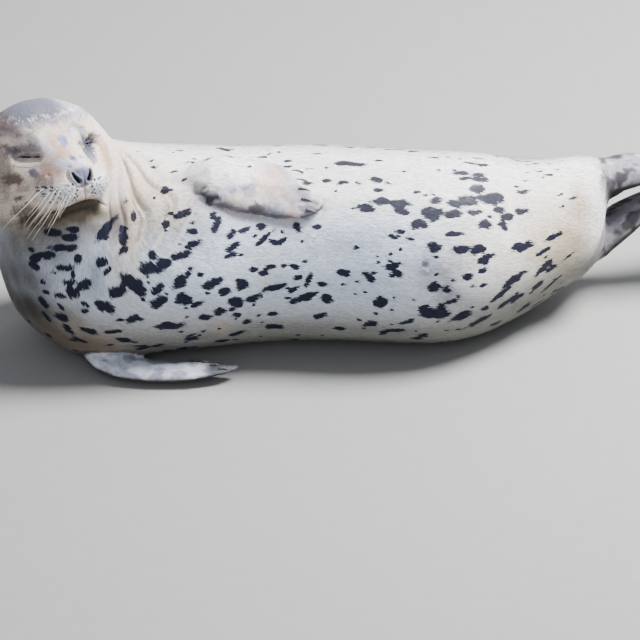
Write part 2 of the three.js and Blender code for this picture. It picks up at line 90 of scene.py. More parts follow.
# The head's axes and centre, and the left eye's place and look along those axes.
FORWARD = unit([0.459, -0.837, 0.299])
UP = unit(np.array([-0.143, 0.263, 0.954]) - FORWARD * np.dot([-0.143, 0.263, 0.954], FORWARD))
LEFT = np.cross(UP, FORWARD)
HEAD_AXES = np.array([FORWARD, LEFT, UP])
HEAD_AT = np.array([-322.0, -70.0, 263.5])
SKULL = (10, 0, -10)  # the middle of the skull
EYE = np.array([27.6, 28.2, 1.3])
EYE_LOOK = np.array([0.72, 0.66, 0.2])
EYE_RADIUS = 15.5
# The slit between the lids: half length, half height and each side's tilt in radians.
SLIT = {"half": 12.5, "open": 1.0, "tilt": {1: 0.04, -1: 0.2}}

# The trunk's middle line: x, y, z.
TRUNK_LINE = np.array([
    (-262, -38, 114), (-204, -30, 117), (-144, -22, 115), (-66, -6, 110), (0, -3, 110),
    (72, -9, 110), (144, -10, 108), (192, 3, 105), (240, 28, 100), (304, 66, 105),
], float)
TRUNK_RADIUS = 120


def read(items, key, width, kind=np.float32):
    """One property of a mesh's items, a row for each."""
    values = np.empty(len(items) * width, kind)
    items.foreach_get(key, values)
    return values.reshape(-1, width)


def triangles_of(mesh):
    mesh.calc_loop_triangles()
    return read(mesh.loop_triangles, "vertices", 3, np.int32)


def node_points(name):
    """A CAD node's welded points and triangles."""
    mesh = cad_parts[name].data
    rounded = np.round(read(mesh.vertices, "co", 3), 6)
    points, index = np.unique(rounded, axis=0, return_inverse=True)
    return points.astype(float), index.reshape(-1)[triangles_of(mesh)]


eye_middle = np.mean([node_points(f"eye_{side}")[0].mean(0) for side in ("left", "right")], axis=0)
SHIFT = eye_middle / MM - (HEAD_AT + EYE[0] * FORWARD + EYE[2] * UP)


def to_row(p):
    return (p + SHIFT) * MM


def to_animal(co):
    return co / MM - SHIFT


def in_head(p):
    return (p - HEAD_AT) @ HEAD_AXES.T


def from_head(q):
    return HEAD_AT + np.asarray(q, float) @ HEAD_AXES


NOSE_TIP = from_head([112, 0, -22])


def headness(p):
    """1 on the head and 0 beyond the nape and the chin."""
    q = in_head(p)
    reach = size_of(q - SKULL) + 4 * waves(p, 24, 12)
    return ramp(reach, 114, 86) * ramp(q[:, 2] + 3 * waves(p, 14, 13), -90, -72)


def round_trunk(p):
    """x, and the angle in degrees round from the middle of the belly."""
    y = np.interp(p[:, 0], TRUNK_LINE[:, 0], TRUNK_LINE[:, 1])
    z = np.interp(p[:, 0], TRUNK_LINE[:, 0], TRUNK_LINE[:, 2])
    return p[:, 0], np.degrees(np.arctan2(p[:, 2] - z, y - p[:, 1]))


def turned(angle, about):
    """How far an angle is from another, from -180 to 180 degrees."""
    return (angle - about + 180) % 360 - 180


# ---- Meshes ----

def mesh_from(name, co, faces):
    """A smooth mesh of triangles or quads."""
    mesh = bpy.data.meshes.new(name)
    faces = np.asarray(faces, np.int32)
    mesh.vertices.add(len(co))
    mesh.vertices.foreach_set("co", np.asarray(co, np.float32).ravel())
    mesh.loops.add(faces.size)
    mesh.loops.foreach_set("vertex_index", faces.ravel())
    mesh.polygons.add(len(faces))
    mesh.polygons.foreach_set("loop_start", np.arange(0, faces.size, faces.shape[1], dtype=np.int32))
    mesh.update(calc_edges=True)
    mesh.polygons.foreach_set("use_smooth", np.full(len(faces), True))
    return mesh


def joined(parts):
    """Several points and faces as one."""
    starts = np.cumsum([0] + [len(co) for co, _ in parts])
    faces = [np.asarray(tri) + start for (_, tri), start in zip(parts, starts)]
    return np.concatenate([co for co, _ in parts]), np.concatenate(faces)


def add_object(name, mesh):
    obj = bpy.data.objects.new(name, mesh)
    bpy.context.scene.collection.objects.link(obj)
    return obj


def points_of(mesh):
    """A mesh's points and edges, in the animal's millimetres."""
    points = to_animal(read(mesh.vertices, "co", 3).astype(float))
    return points, read(mesh.edges, "vertices", 2, np.int32)


def move(mesh, p):
    mesh.vertices.foreach_set("co", to_row(p).astype(np.float32).ravel())
    mesh.update()


def normals_of(co, tri):
    face = np.cross(co[tri[:, 1]] - co[tri[:, 0]], co[tri[:, 2]] - co[tri[:, 0]])
    total = np.zeros_like(co)
    for corner in range(3):
        for axis in range(3):
            total[:, axis] += np.bincount(tri[:, corner], face[:, axis], len(co))
    return unit(total)


def blur(values, edges, weight, rounds):
    """Each value moves towards its neighbours' mean by its weight, each round."""
    n = len(values)
    count = np.maximum(np.bincount(edges.ravel(), minlength=n), 1)
    flat = values.reshape(n, -1).copy()
    for _ in range(rounds):
        for k in range(flat.shape[1]):
            column = flat[:, k]
            total = np.bincount(edges[:, 0], column[edges[:, 1]], n)
            total += np.bincount(edges[:, 1], column[edges[:, 0]], n)
            flat[:, k] = column + weight * (total / count - column)
    return flat.reshape(values.shape)


def store(mesh, name, values):
    """A per-vertex attribute: a number, or three."""
    kind = "FLOAT" if values.ndim == 1 else "FLOAT_VECTOR"
    attribute = mesh.attributes.new(name, kind, "POINT")
    key = "value" if values.ndim == 1 else "vector"
    attribute.data.foreach_set(key, np.asarray(values, np.float32).ravel())


# ---- The skin: one closed surface round all the flesh ----

FLIPPERS = ["fore_flipper_left", "fore_flipper_right", "hind_flipper_left", "hind_flipper_right"]
TORSO = ["neck", "chest", "belly", "hips"]
FLESH = ["head", "lower_jaw", "nose", *TORSO, "tail", *FLIPPERS]
VOXEL = 2.7
SWELL = 0.4  # closes the gaps between the regions
COAT_DEPTH = 0.8


def seed_mesh():
    """The flesh nodes, swollen until they meet, with the eye sockets filled."""
    parts = []
    for name in FLESH:
        co, tri = node_points(name)
        parts.append((co + normals_of(co, tri) * SWELL * MM, tri))
    for side in (1, -1):
        bm = bmesh.new()
        bmesh.ops.create_icosphere(bm, subdivisions=4, radius=(EYE_RADIUS + 2.2) * MM)
        centre = to_row(from_head(EYE * [1, side, 1]))
        ball = np.array([v.co for v in bm.verts]) + centre
        parts.append((ball, [[v.index for v in f.verts] for f in bm.faces]))
        bm.free()
    return mesh_from("seed", *joined(parts))


def remeshed(mesh):
    obj = add_object("seed", mesh)
    modifier = obj.modifiers.new("remesh", "REMESH")
    modifier.mode = "VOXEL"
    modifier.voxel_size = VOXEL * MM
    modifier.adaptivity = 0
    graph = bpy.context.evaluated_depsgraph_get()
    made = bpy.data.meshes.new_from_object(obj.evaluated_get(graph))
    bpy.data.objects.remove(obj)
    return made


def distance_to(names, p, reach):
    """How far each point is from some CAD nodes, up to reach, in millimetres."""
    far = np.full(len(p), float(reach))
    for name in names:
        co, tri = node_points(name)
        co = to_animal(co)
        tree = BVHTree.FromPolygons(co.tolist(), tri.tolist())
        near = np.all((p > co.min(0) - reach) & (p < co.max(0) + reach), axis=1)
        for i in np.nonzero(near)[0]:
            found = tree.find_nearest(p[i], reach)
            if found[0] is not None:
                far[i] = min(far[i], found[3])
    return far


def refine(mesh, wanted):
    """Splits each face whose middle is wanted into four."""
    bm = bmesh.new()
    bm.from_mesh(mesh)
    bm.faces.ensure_lookup_table()
    middles = to_animal(np.array([f.calc_center_median() for f in bm.faces]))
    chosen = np.nonzero(wanted(middles))[0]
    edges = {e for i in chosen for e in bm.faces[i].edges}
    bmesh.ops.subdivide_edges(bm, edges=list(edges), cuts=1, use_grid_fill=True)
    bm.to_mesh(mesh)
    bm.free()


def eye_axes(side):
    look = unit(EYE_LOOK * [1, side, 1])
    tilt = SLIT["tilt"][side]
    level = np.array([0, math.cos(tilt), side * math.sin(tilt)])
    level = unit(level - look * level.dot(look))
    high = np.cross(look, level)
    return look, level, high * np.sign(high[2])


def from_slit(q, side):
    """Along and above the slit, how far outside it, and how far in front of the eye."""
    look, level, high = eye_axes(side)
    v = q - EYE * [1, side, 1]
    a, b, c = v @ level, v @ high, v @ look
    over = np.abs(a) - SLIT["half"]
    inside = np.clip(np.abs(a) / SLIT["half"], 0, 1)
    edge = np.abs(b) - SLIT["open"] * (1 - inside**2)
    return a, b, np.where(over > 0, np.hypot(np.maximum(over, 0), b), edge), c, v


def lids(q):
    """The head's points with the lids' margins and folds, and the slit sunk behind the eye."""
    for side in (1, -1):
        a, b, edge, c, v = from_slit(q, side)
        r = size_of(v)
        lid = EYE_RADIUS + 1.9 + 0.55 * bell(edge - 1.7, 1.0)
        lid = lid - 0.7 * bell(edge - np.where(b > 0, 5.6, 4.6), 1.1)
        target = EYE_RADIUS - 2.2 + (lid - EYE_RADIUS + 2.2) * ramp(edge, -0.25, 0.55)
        share = ramp(edge, 8.5, 5.0) * ramp(c, 2, 7)
        fold = 0.8 * bell(edge - 8.6, 1.3) + 0.6 * bell(edge - 12.5, 1.6) * (b < 0)
        crease = np.sin(edge * 2.3 + 1.6 * waves(from_head(q), 16, 51))
        fold = fold + 0.3 * crease * ramp(edge, 2.5, 4.5) * ramp(edge, 17, 8)
        fold = fold * ramp(c, 0, 6) * ramp(np.abs(a), 21, 12)
        wanted = r + (target - r) * share - fold
        q = q + v / np.maximum(r, 1e-6)[:, None] * (wanted - r)[:, None]
    return q


def from_path(points, x, y):
    """Distance of each x, y from a path of points."""
    best = np.full(len(x), 1e9)
    for (x0, y0), (x1, y1) in zip(points, points[1:]):
        dx, dy = x1 - x0, y1 - y0
        t = np.clip(((x - x0) * dx + (y - y0) * dy) / (dx * dx + dy * dy), 0, 1)
        best = np.minimum(best, np.hypot(x - x0 - dx * t, y - y0 - dy * t))
    return best


NOSTRIL = [(11.0, -16.0), (10.2, -18.5), (8.4, -22.2), (6.2, -25.8)]
NOSE_PAD = {"at": -20.5, "wide": 14.5, "high": 11.5}
MOUTH = {"peak": -51, "drop": 0.013, "corner": 47}


def in_nostril(out, u):
    """Distance from a nostril's middle line in shares of its half width there."""
    return from_path(NOSTRIL, out, u) / (1.1 + 1.0 * ramp(u, -15, -24))


def above_mouth(l, u):
    slope = 2 * MOUTH["drop"] * l
    return (u - MOUTH["peak"] + MOUTH["drop"] * l * l) / np.sqrt(1 + slope * slope)


def nose_reach(l, u):
    """1 at the edge of the bare nose pad."""
    wide = NOSE_PAD["wide"] - 0.22 * (NOSE_PAD["at"] - u)
    return np.hypot(l / wide, (u - NOSE_PAD["at"]) / NOSE_PAD["high"])


def follicles():
    """Where the whiskers root on a pad: distance from the middle line, height and size."""
    rng = np.random.default_rng(SEED + 4)
    found = []
    for row in range(6):
        for column in range(8 - row // 2):
            l = 9.5 + 5.0 * column + 2.4 * (row % 2)
            u = -27.5 - 4.1 * row - 0.12 * column * (5 - row) + 0.35 * column
            l, u = l + rng.normal(0, 0.8), u + rng.normal(0, 0.7)
            if above_mouth(l, u) > 3.5 and l < 44:
                found.append((l, u, rng.uniform(1.1, 1.9)))
    return found


FOLLICLES = follicles()


def ear_distance(q):
    """Distance from the small ear openings behind the eyes."""
    f, l, u = q.T
    return np.where(np.abs(l) > 45, np.hypot(f + 16, 1.3 * (u + 2)), 99.0)


def face_relief(q):
    """How far the face's small forms stand out, in millimetres."""
    f, l, u = q.T
    out = np.abs(l)
    front = ramp(f, 38, 58)
    lift = np.zeros(len(q))
    reach = nose_reach(l, u)
    lift += front * (0.9 * ramp(reach, 1.12, 0.9) - 0.7 * bell(reach - 1.2, 0.1))
    nostril = in_nostril(out, u)
    lift += front * (0.7 * bell(nostril - 2.2, 0.7) - 4.6 * bell(nostril, 0.85))
    lift -= front * 0.48 * bell(l, 1.6) * ramp(u, -33, -29) * ramp(u, -10, -18)
    lift -= front * 1.3 * bell(l, 1.3) * ramp(u, -54, -50) * ramp(u, -28, -32)
    mouth = above_mouth(l, u)
    lips = ramp(f, MOUTH["corner"] - 2, MOUTH["corner"] + 8) * ramp(out, 38, 29)
    lift -= lips * 2.6 * bell(mouth, 1.2)
    lift += lips * 1.3 * bell(mouth - 4.5, 3.2)
    lift -= lips * 2.4 * ramp(mouth, 1.0, -2.0) * ramp(mouth, -27, -6) * ramp(out, 34, 14)
    lift += front * 1.2 * bell(out - 20, 13) * bell(u + 38, 12)
    for l0, u0, size in FOLLICLES:
        d = np.hypot(out - l0, u - u0)
        lift += front * (0.5 * bell(d, size) - 0.6 * bell(d, 0.45 * size))
    # furrows that run back from the pads and up between the brows
    lift -= 0.7 * front * bell(from_path([(31, -16), (36, -27), (40, -40), (38, -52)], out, u), 1.8)
    lift -= 0.35 * bell(from_path([(0, 10), (0, 34)], l, u), 2.5) * ramp(f, 10, 30)
    ear = ear_distance(q)
    lift -= 3.2 * bell(ear, 2.3)
    lift += 0.9 * bell(ear - 4.5, 1.8)
    return lift


# Folds of loose skin between the nape and the throat: how far along the neck's own
# line each lies from the chest's centre, how deep it is, and how wide.
FOLD_NORMAL = unit([-0.426, -0.633, 0.647])
FOLDS = [(109, 1.6, 4), (99, 2.4, 5), (88, 3.8, 5), (77, 2.2, 5), (64, 1.3, 7)]
CHEST_CENTRE = np.array([-262.0, -38.0, 120.0])


def trunk_relief(p, limbs):
    """Neck folds, the navel, creases and the soft unevenness of flesh."""
    x, angle = round_trunk(p)
    lift = 0.55 * waves(p, 95, 1) + 0.22 * waves(p, 34, 2)
    lift *= ramp(x, -420, -250) * (1 - limbs)
    along = (p - CHEST_CENTRE) @ FOLD_NORMAL + 5 * waves(p, 90, 3)
    side = ramp(p[:, 0], -318, -276) * ramp(p[:, 2], 168, 206)
    for at, depth, width in FOLDS:
        strength = side * depth * np.clip(0.7 + 0.5 * waves(p, 70, at), 0, 1)
        beside = bell(along - at - width, width)
        lift += 1.4 * strength * (0.5 * beside - bell(along - at, 0.34 * width))
    dimple = np.hypot(x - 123, (angle - 15.5) * 2.1)
    lift += 0.8 * bell(dimple - 6, 3) - 2.2 * bell(dimple, 3.2)
    crater = np.hypot(x - 146, (angle - 1) * 2.1)
    lift += 0.9 * bell(crater - 8, 4) - 1.6 * bell(crater, 4.5)
    return lift


def near_slit(q, reach, front):
    """Whether points of the head are near the slit of an eye."""
    near = np.zeros(len(q), bool)
    for side in (1, -1):
        _, _, edge, c, _ = from_slit(q, side)
        near |= (edge < reach) & (c > front)
    return near


def face_part(p):
    q = in_head(p)
    muzzle = (q[:, 0] > 50) & (np.abs(q[:, 1]) < 52) & (q[:, 2] > -78) & (q[:, 2] < 0)
    return muzzle | near_slit(q, 13, 0)


def from_face(p):
    return size_of(p - from_head([10, 0, -12]))


def build_skin():
    """The flesh as one smooth surface, with finer faces where the forms are small."""
    mesh = remeshed(seed_mesh())
    p, edges = points_of(mesh)
    limb_far = distance_to([*FLIPPERS, "tail"], p, 30)
    head_near = ramp(size_of(p - HEAD_AT), 120, 85)
    weight = 0.5 * (0.12 + 0.88 * ramp(limb_far, 3, 22)) * (1 - 0.72 * head_near)
    weight = blur(weight, edges, 0.5, 6)
    p = blur(p, edges, weight, 70)
    p[:, 2] = np.maximum(p[:, 2], 0.4)
    move(mesh, p)
    refine(mesh, lambda m: from_face(m) < 122)
    refine(mesh, face_part)
    refine(mesh, lambda m: near_slit(in_head(m), 4.5, 4))
    p, edges = points_of(mesh)
    return mesh, blur(p, edges, 0.5 * (from_face(p) < 100), 5)


def flipper_share(p, limb_far):
    """1 on the thinly haired flippers, 0 on the body."""
    hind = ramp(limb_far + 5 * waves(p, 18, 61), 26, 8)
    share = np.where(p[:, 0] > 280, hind, ramp(limb_far, 12, 2))
    shoulder = ramp(p[:, 2] + 4 * waves(p, 20, 62), 224, 240) * ramp(p[:, 0], -48, -84)
    return share * (1 - shoulder * (p[:, 0] < 60))


def sculpt(p, tri):
    """The skin's points with all the small forms, and the flippers' share of each."""
    limb_far = distance_to(FLIPPERS, p, 30)
    rest_far = distance_to([*TORSO, "head", "lower_jaw"], p, 30)
    share = flipper_share(p, limb_far)
    out = normals_of(p, tri)
    groove = bell(limb_far - 2.5, 2.2) * ramp(rest_far, 4, 1) * ramp(p[:, 0], -150, -118)
    groove = groove * (p[:, 0] < 60) * ramp(p[:, 2], 150, 170)
    q = in_head(p)
    face = (size_of(q - [20, 0, -15]) < 108) & (q[:, 2] > -84)
    p = p + out * (trunk_relief(p, share) - 2.6 * groove)[:, None]
    q = in_head(p)
    q[face] += (out[face] @ HEAD_AXES.T) * face_relief(q[face])[:, None]
    q[face] = lids(q[face])
    p = from_head(q)
    inset = COAT_DEPTH * (1 - share) * (1 - 0.8 * ramp(size_of(p - HEAD_AT), 150, 90))
    p -= normals_of(p, tri) * inset[:, None]
    p[:, 2] = np.maximum(p[:, 2], 0.3)
    return p, share


skin_mesh, skin = build_skin()
skin_tris = triangles_of(skin_mesh)
skin, limb = sculpt(skin, skin_tris)
move(skin_mesh, skin)
normals = normals_of(skin, skin_tris)


# ---- Markings ----

# Dark spots on the trunk: x, angle, half length, half width, and the tilt in degrees of
# those that don't lie along it. Each was placed one by one.
THROAT_SPOTS = [
    (-312, 37, 9, 4, -15), (-290, 38, 7, 3), (-293, 34, 9, 4), (-299, 29, 15, 4), (-320, 25, 9, 4),
    (-334, 23, 6, 5, -20), (-338, 28, 4, 2, -40), (-299, 18, 10, 4), (-283, 23, 4, 5),
    (-311, 15, 5, 2, -20), (-289, 15, 5, 3, 90), (-294, 10, 9, 3), (-275, 9, 10, 5, 25),
    (-290, 4, 8, 6, -25), (-305, 1, 7, 3), (-335, 18, 6, 4, -40), (-325, 8, 4, 3), (-322, 2, 5, 3, -20),
    (-325, -6, 7, 4, -50), (-304, -6, 5, 2, -45), (-304, -13, 7, 6), (-297, -21, 9, 4, -50),
    (-275, -2, 6, 3, -30), (-276, -6, 5, 3), (-271, -20, 11, 4, -20), (-284, -29, 9, 3, -20),
    (-323, -16, 8, 3, -50), (-322, 42, 6, 5), (-348, 44, 7, 3, 10), (-250, 38, 18, 5, 50),
    (-230, 37, 5, 4), (-231, 32, 8, 5, -75), (-230, 26, 6, 4, 20), (-255, 21, 7, 5, -10),
    (-249, 16, 5, 4, 30),
]
CHEST_SPOTS = [
    (-197, 22, 5, 5), (-200, 15, 10, 7, -20), (-183, 17.5, 8, 6, 10), (-222, 9.5, 14, 7, -35),
    (-237, 4.5, 9, 7, 10), (-213, 5, 12, 5, -40), (-192, 4, 8, 4, 30), (-253, -3, 11, 6, -35),
    (-189, -3, 12, 6, 15), (-218, -12, 8, 5), (-235, -12, 4, 2), (-177, -18, 15, 5),
    (-164, 8, 12, 6, 20),
    (-154, 12, 7, 3, 70), (-160, -2, 9, 7, -20), (-145, -5, 8, 3, 15), (-127, 6, 11, 5, 20),
    (-149, 27, 9, 4, 20), (-163, 21.5, 12, 4, 15), (-151, 34, 6, 4), (-122, 37, 11, 4, 60),
    (-125, 42, 5, 3, 50), (-105, 32, 7, 4, 40), (-89, 34, 7, 3, 20), (-70, 36, 5, 4),
    (-66, 29, 13, 3, 40), (-55, 27, 6, 3, -35), (-44, 27.5, 7, 3, 35), (-27, 36, 7, 4, -65),
    (-4, 35, 5, 3), (-103, 25, 9, 3, 30), (-104, 20.5, 8, 3, 10), (-111, 1, 8, 4), (-91, 4, 9, 6),
    (-99, -6, 9, 6, -20), (-79, -4, 9, 4, 20), (-117, -11, 7, 5), (-134, -13.5, 7, 4), (-98, -14, 5, 4),
    (-80, 12, 5, 3), (-66, 10, 6, 3), (-60, 13, 7, 3, 10), (-54, 1.5, 14, 4, 10), (-29, 13, 6, 3, -15),
    (-25, 7, 5, 3, 15), (-14, 5, 8, 3, 65), (-30, 0, 8, 3, 30), (-19, -5, 18, 4, 20), (4, 3, 6, 3),
    (8, -5, 7, 6), (-57, -15, 6, 3), (-87, -20, 5, 4, 20), (-55, -26, 12, 5, -15), (1, -17, 8, 4, 15),
    (24, -28, 8, 3), (-98, -30, 9, 3, 20), (-116, -37, 8, 3), (-229, -28, 12, 4, -25),
    (-212, -36, 9, 3, -20), (-180, -48, 10, 4, -25), (-182, 56, 5, 4), (-195, 75, 4, 3),
    (-161, 43, 9, 4, 20), (-180, 38, 5, 4, 40), (28, 10, 7, 4), (-38, 84, 6, 3), (9, 66, 6, 3),
    (-219, 43, 6, 3, 80),
]
HIP_SPOTS = [
    (32, 81, 12, 4), (66, 68, 6, 4), (71, 52, 9, 4), (93, 51, 11, 4, -5), (53, 47, 9, 4, -5),
    (96, 46, 8, 4), (132, 45, 10, 7), (117, 39, 8, 5, 10), (156, 45, 10, 4), (159, 52, 8, 4, -30),
    (168, 76, 8, 3), (171, 71, 7, 3), (188, 75, 7, 3), (191, 71, 8, 4), (187, 63, 8, 5), (176, 54, 9, 6),
    (203, 55, 13, 7), (212, 47, 6, 4, -20), (194, 38, 9, 6), (222, 42, 7, 4), (238, 45, 7, 4),
    (215, 37, 5, 3), (157, 33, 10, 3), (136, 26, 7, 6), (167, 24, 10, 5), (188, 23, 9, 6),
    (195, 17, 10, 5, 25), (191, 10, 5, 3), (241, 20, 12, 6), (278, 18, 10, 4, 5), (267, 10, 10, 3, 8),
    (87, 15, 11, 4, 15), (91, 11, 7, 4, -40), (96, 34, 5, 3), (58, 8, 7, 4, -40), (175, 8, 6, 4, 10),
    (135, 3, 9, 5), (148, 1, 5, 4), (155, -6, 7, 3, 20), (71, -6, 8, 6, 10), (127, -11, 10, 6, -20),
    (138, -14, 17, 6), (144, -10, 6, 5, 90), (168, -17, 13, 5, 20), (189, -25, 15, 4, 25),
    (59, -22, 10, 5, 25), (101, -19, 10, 3, 20), (87, -28, 14, 4, 15), (230, -1, 15, 5, 25),
    (267, -3, 10, 6, 30), (276, -7, 6, 4), (216, -8, 14, 3, 28), (223, -16, 14, 3, 28),
    (234, -16, 8, 3, 30), (195, -15, 5, 3, 20), (259, -15, 7, 4, 15), (278, -23, 12, 3, 25),
    (298, -4, 9, 2, 28), (245, -30, 9, 3, 30), (243, 61, 6, 3),
]
# Smaller marks between them.
SMALL_SPOTS = [
    (-230, 52, 5, 5), (-5, 92, 6, 2), (-14, 64, 6, 2.5), (28, 65, 6, 2.5), (47, 81, 8, 3),
    (69, 60, 5, 2.5), (136, 54, 6, 4), (182, 46, 6, 3), (179, 87, 7, 2, -20), (194, 86, 6, 3),
    (135, 94, 6, 2), (188, 95, 6, 2), (85, 106, 8, 2), (69, 86, 5, 2), (274, 77, 6, 2, -15),
    (304, 46, 4, 2), (24, 64, 4, 2), (-244, -20, 10, 3), (-208, -1, 3, 2), (-140, 11, 4, 2),
    (-43, 13.5, 4, 2.5), (-105, -10, 4, 2.5), (-154, -27, 6, 2, 20), (-155, -43, 8, 2.5),
    (42, 24, 3, 2.5), (85, 31, 7, 2.5, -20), (107, 30, 5, 2.5), (180, -12, 3, 2.5), (192, 1, 4, 2),
    (219, 34, 5, 3, -40), (-336, 17, 6, 3, -45), (-331, 48, 4, 2), (-108, 73, 6, 2, -20),
    (-120, 74, 7, 1.5), (-132, 70, 5, 1.5, 10), (-160, 62, 4, 2), (-172, 70, 5, 2), (-150, 80, 7, 1.5),
    (-100, 86, 6, 1.5), (-70, 88, 6, 2), (-40, 78, 7, 2),
]
# The back and the far side carry many small ones, thrown at random but always the same.
SCATTER = {"count": 520, "x": (-300, 300), "long": (3, 10), "thin": 0.5, "flecks": 150}


def scattered_spots():
    rng = np.random.default_rng(SEED)
    spots = []
    while len(spots) < SCATTER["count"]:
        x = rng.uniform(*SCATTER["x"])
        angle = rng.uniform(95, 330)
        dense = 0.35 + 0.65 * ramp(abs(angle - 200), 110, 20)
        if rng.random() > dense:
            continue
        long = rng.uniform(*SCATTER["long"]) * (0.7 + 0.5 * dense)
        thin = max(2, SCATTER["thin"] * long)
        spots.append((x, turned(angle, 0), long, thin, rng.uniform(-30, 30)))
    for _ in range(SCATTER["flecks"]):
        place = rng.uniform(-250, 300), rng.uniform(-40, 100)
        spots.append((*place, rng.uniform(1.5, 3.5), 1.6, rng.uniform(-30, 30)))
    return spots


TRUNK_SPOTS = [*THROAT_SPOTS, *CHEST_SPOTS, *HIP_SPOTS, *SMALL_SPOTS, *scattered_spots()]


FRONT_COUNT = 110


def front_spots():
    """Spots on the front of the chest and the far side of the neck."""
    rng = np.random.default_rng(SEED + 5)
    x, angle = round_trunk(skin)
    place = (x < -318) & ((angle > 48) | (angle < -34)) & (skin[:, 2] > 12)
    place |= (x > -318) & (x < -240) & (angle > 100) & (skin[:, 2] > 150)
    found = []
    for i in rng.permutation(np.nonzero(place & (headness(skin) < 0.1))[0]):
        size = rng.uniform(2.5, 6.5)
        if all(np.linalg.norm(skin[i] - at) > 1.5 * (size + other) for at, other in found):
            found.append((skin[i], size))
        if len(found) >= FRONT_COUNT:
            break
    return found


HALVING = 0.693  # e to the power of minus this is a half


def spot_shape(r):
    """1 in the middle of a spot, 0.5 at its edge and then soon 0."""
    return np.exp(-HALVING * np.maximum(r, 0) ** 2.4)


def spot_field(p):
    """How far into a dark spot each point is, by spot_shape."""
    x, angle = round_trunk(p)
    best = np.zeros(len(p))
    wobble = 0.308 * waves(p, 17, 11)
    for x0, angle0, long, thin, *tilt in TRUNK_SPOTS:
        if x0 > 30 and 38 < angle0 < 90:  # on the hip's upper side they are larger
            long, thin = 1.15 * long, 1.25 * thin
        near = np.nonzero(np.abs(x - x0) < 3 * long + 4)[0]
        dx = x[near] - x0
        dy = turned(angle[near], angle0) * math.radians(1) * TRUNK_RADIUS
        keep = np.abs(dy) < 3 * long + 4
        near, dx, dy = near[keep], dx[keep], dy[keep]
        way = math.radians(tilt[0] if tilt else 0)
        c, s = math.cos(way), math.sin(way)
        r = np.hypot((dx * c + dy * s) / long, (dy * c - dx * s) / thin)
        best[near] = np.maximum(best[near], spot_shape(r + wobble[near]))
    for at, size in FRONT_SPOTS:
        near = np.nonzero(np.abs(p - at).max(1) < 3 * size)[0]
        r = size_of((p[near] - at) * [1, 1, 1.3]) / size
        best[near] = np.maximum(best[near], spot_shape(r + wobble[near]))
    return best


# Soft patches on the trunk, of another coat colour or of painted shade: x, angle, reach along, reach
# round, colour.
WHITE = (240, 239, 238)
BLUISH_SHADE = (208, 218, 234)
BEIGE = (214, 196, 172)
SPOT_DARK = (12, 15, 40)
# Those at x -270 and below, dark on the front of the chest and the throat, and the one under the rear at
# x 240 are painted shade, on the throat partly over stained coat.
TRUNK_PATCHES_AND_SHADE = [
    (-205, 58, 42, 30, BEIGE, 0.75), (-222, 42, 18, 36, BEIGE, 0.85), (-170, 44, 26, 16, BEIGE, 0.5),
    (-238, 64, 12, 50, (186, 164, 142), 0.7), (-118, -23, 8, 7, (190, 160, 146), 0.6),
    (262, 28, 46, 40, BEIGE, 0.6), (292, 5, 40, 30, (186, 166, 132), 0.8),
    (312, 40, 16, 26, (172, 142, 110), 0.7), (170, 20, 40, 22, BEIGE, 0.3),
    (124, 16, 4, 5, (20, 20, 28), 0.95), (128, 14, 16, 12, (150, 158, 178), 0.7),
    (155, 6, 26, 20, (160, 166, 180), 0.5), (150, 0, 14, 14, (112, 112, 122), 0.6),
    (-261, 16, 11, 12, (126, 138, 158), 0.75), (-236, 37, 9, 8, (110, 116, 150), 0.8),
    (-70, 8, 24, 16, (190, 198, 196), 0.5), (-300, -20, 50, 30, (120, 108, 90), 0.7),
    (-370, 20, 34, 80, (104, 100, 96), 0.7), (-338, -22, 26, 14, (92, 88, 80), 0.6),
    (-270, -34, 60, 15, (120, 104, 86), 0.65), (-300, 30, 26, 16, (130, 130, 138), 0.6),
    (-345, 12, 30, 34, (74, 72, 70), 0.75), (-335, -14, 34, 16, (58, 54, 50), 0.7),
    (-322, 38, 22, 14, (104, 98, 90), 0.6), (-275, 46, 26, 9, (104, 100, 92), 0.85),
    (-310, 44, 24, 10, (80, 76, 70), 0.85), (240, -18, 90, 22, (120, 120, 112), 0.7),
]


def plain(tint, p):
    return np.tile(linear(*tint), (len(p), 1))


def paint(colour, tint, share):
    """Brings colours nearer a tint by a share at each point."""
    colour += (linear(*tint) - colour) * share[:, None]


def paint_trunk(p):
    x, angle = round_trunk(p)
    colour = plain(WHITE, p)
    # painted shade: a cool bluish cast over the middle of the belly side
    paint(colour, BLUISH_SHADE, ramp(angle, -40, 0) * ramp(angle, 62, 30) * ramp(x, 240, 60))
    # painted shade: darker and greyer towards the underside, near the floor
    paint(colour, (112, 112, 104), 0.85 * ramp(angle, 2, -30) * ramp(angle, -110, -60))
    back = ramp(np.abs(turned(angle, 180)), 96, 45)
    paint(colour, (124, 124, 134), 0.95 * back * (0.85 + 0.3 * waves(p, 80, 21)).clip(0, 1))
    # coat patches, with painted shade on the chest, the throat and under the rear
    for x0, angle0, along, round_, tint, share in TRUNK_PATCHES_AND_SHADE:
        r = np.hypot((x - x0) / along, turned(angle, angle0) / round_)
        paint(colour, tint, share * bell(r + 0.14 * waves(p, 30, 22), 0.9))
    # painted shade: the folds of the neck are darker and browner in their depths
    along = (p - CHEST_CENTRE) @ FOLD_NORMAL + 5 * waves(p, 90, 3)
    side = ramp(p[:, 0], -318, -276) * ramp(p[:, 2], 168, 206)
    for at, depth, width in FOLDS:
        paint(colour, (112, 88, 72), 0.25 * depth * side * bell(along - at, 0.4 * width))
    # under the chin the coat is stained and shaded
    f, _, u = in_head(p).T
    collar = ramp(u, -124, -88) * ramp(f, -30, 10) * ramp(p[:, 0], -205, -240) * ramp(angle, 62, 44)
    paint(colour, (104, 96, 84), 0.8 * collar * (0.8 + 0.3 * waves(p, 22, 23)).clip(0, 1))
    return colour
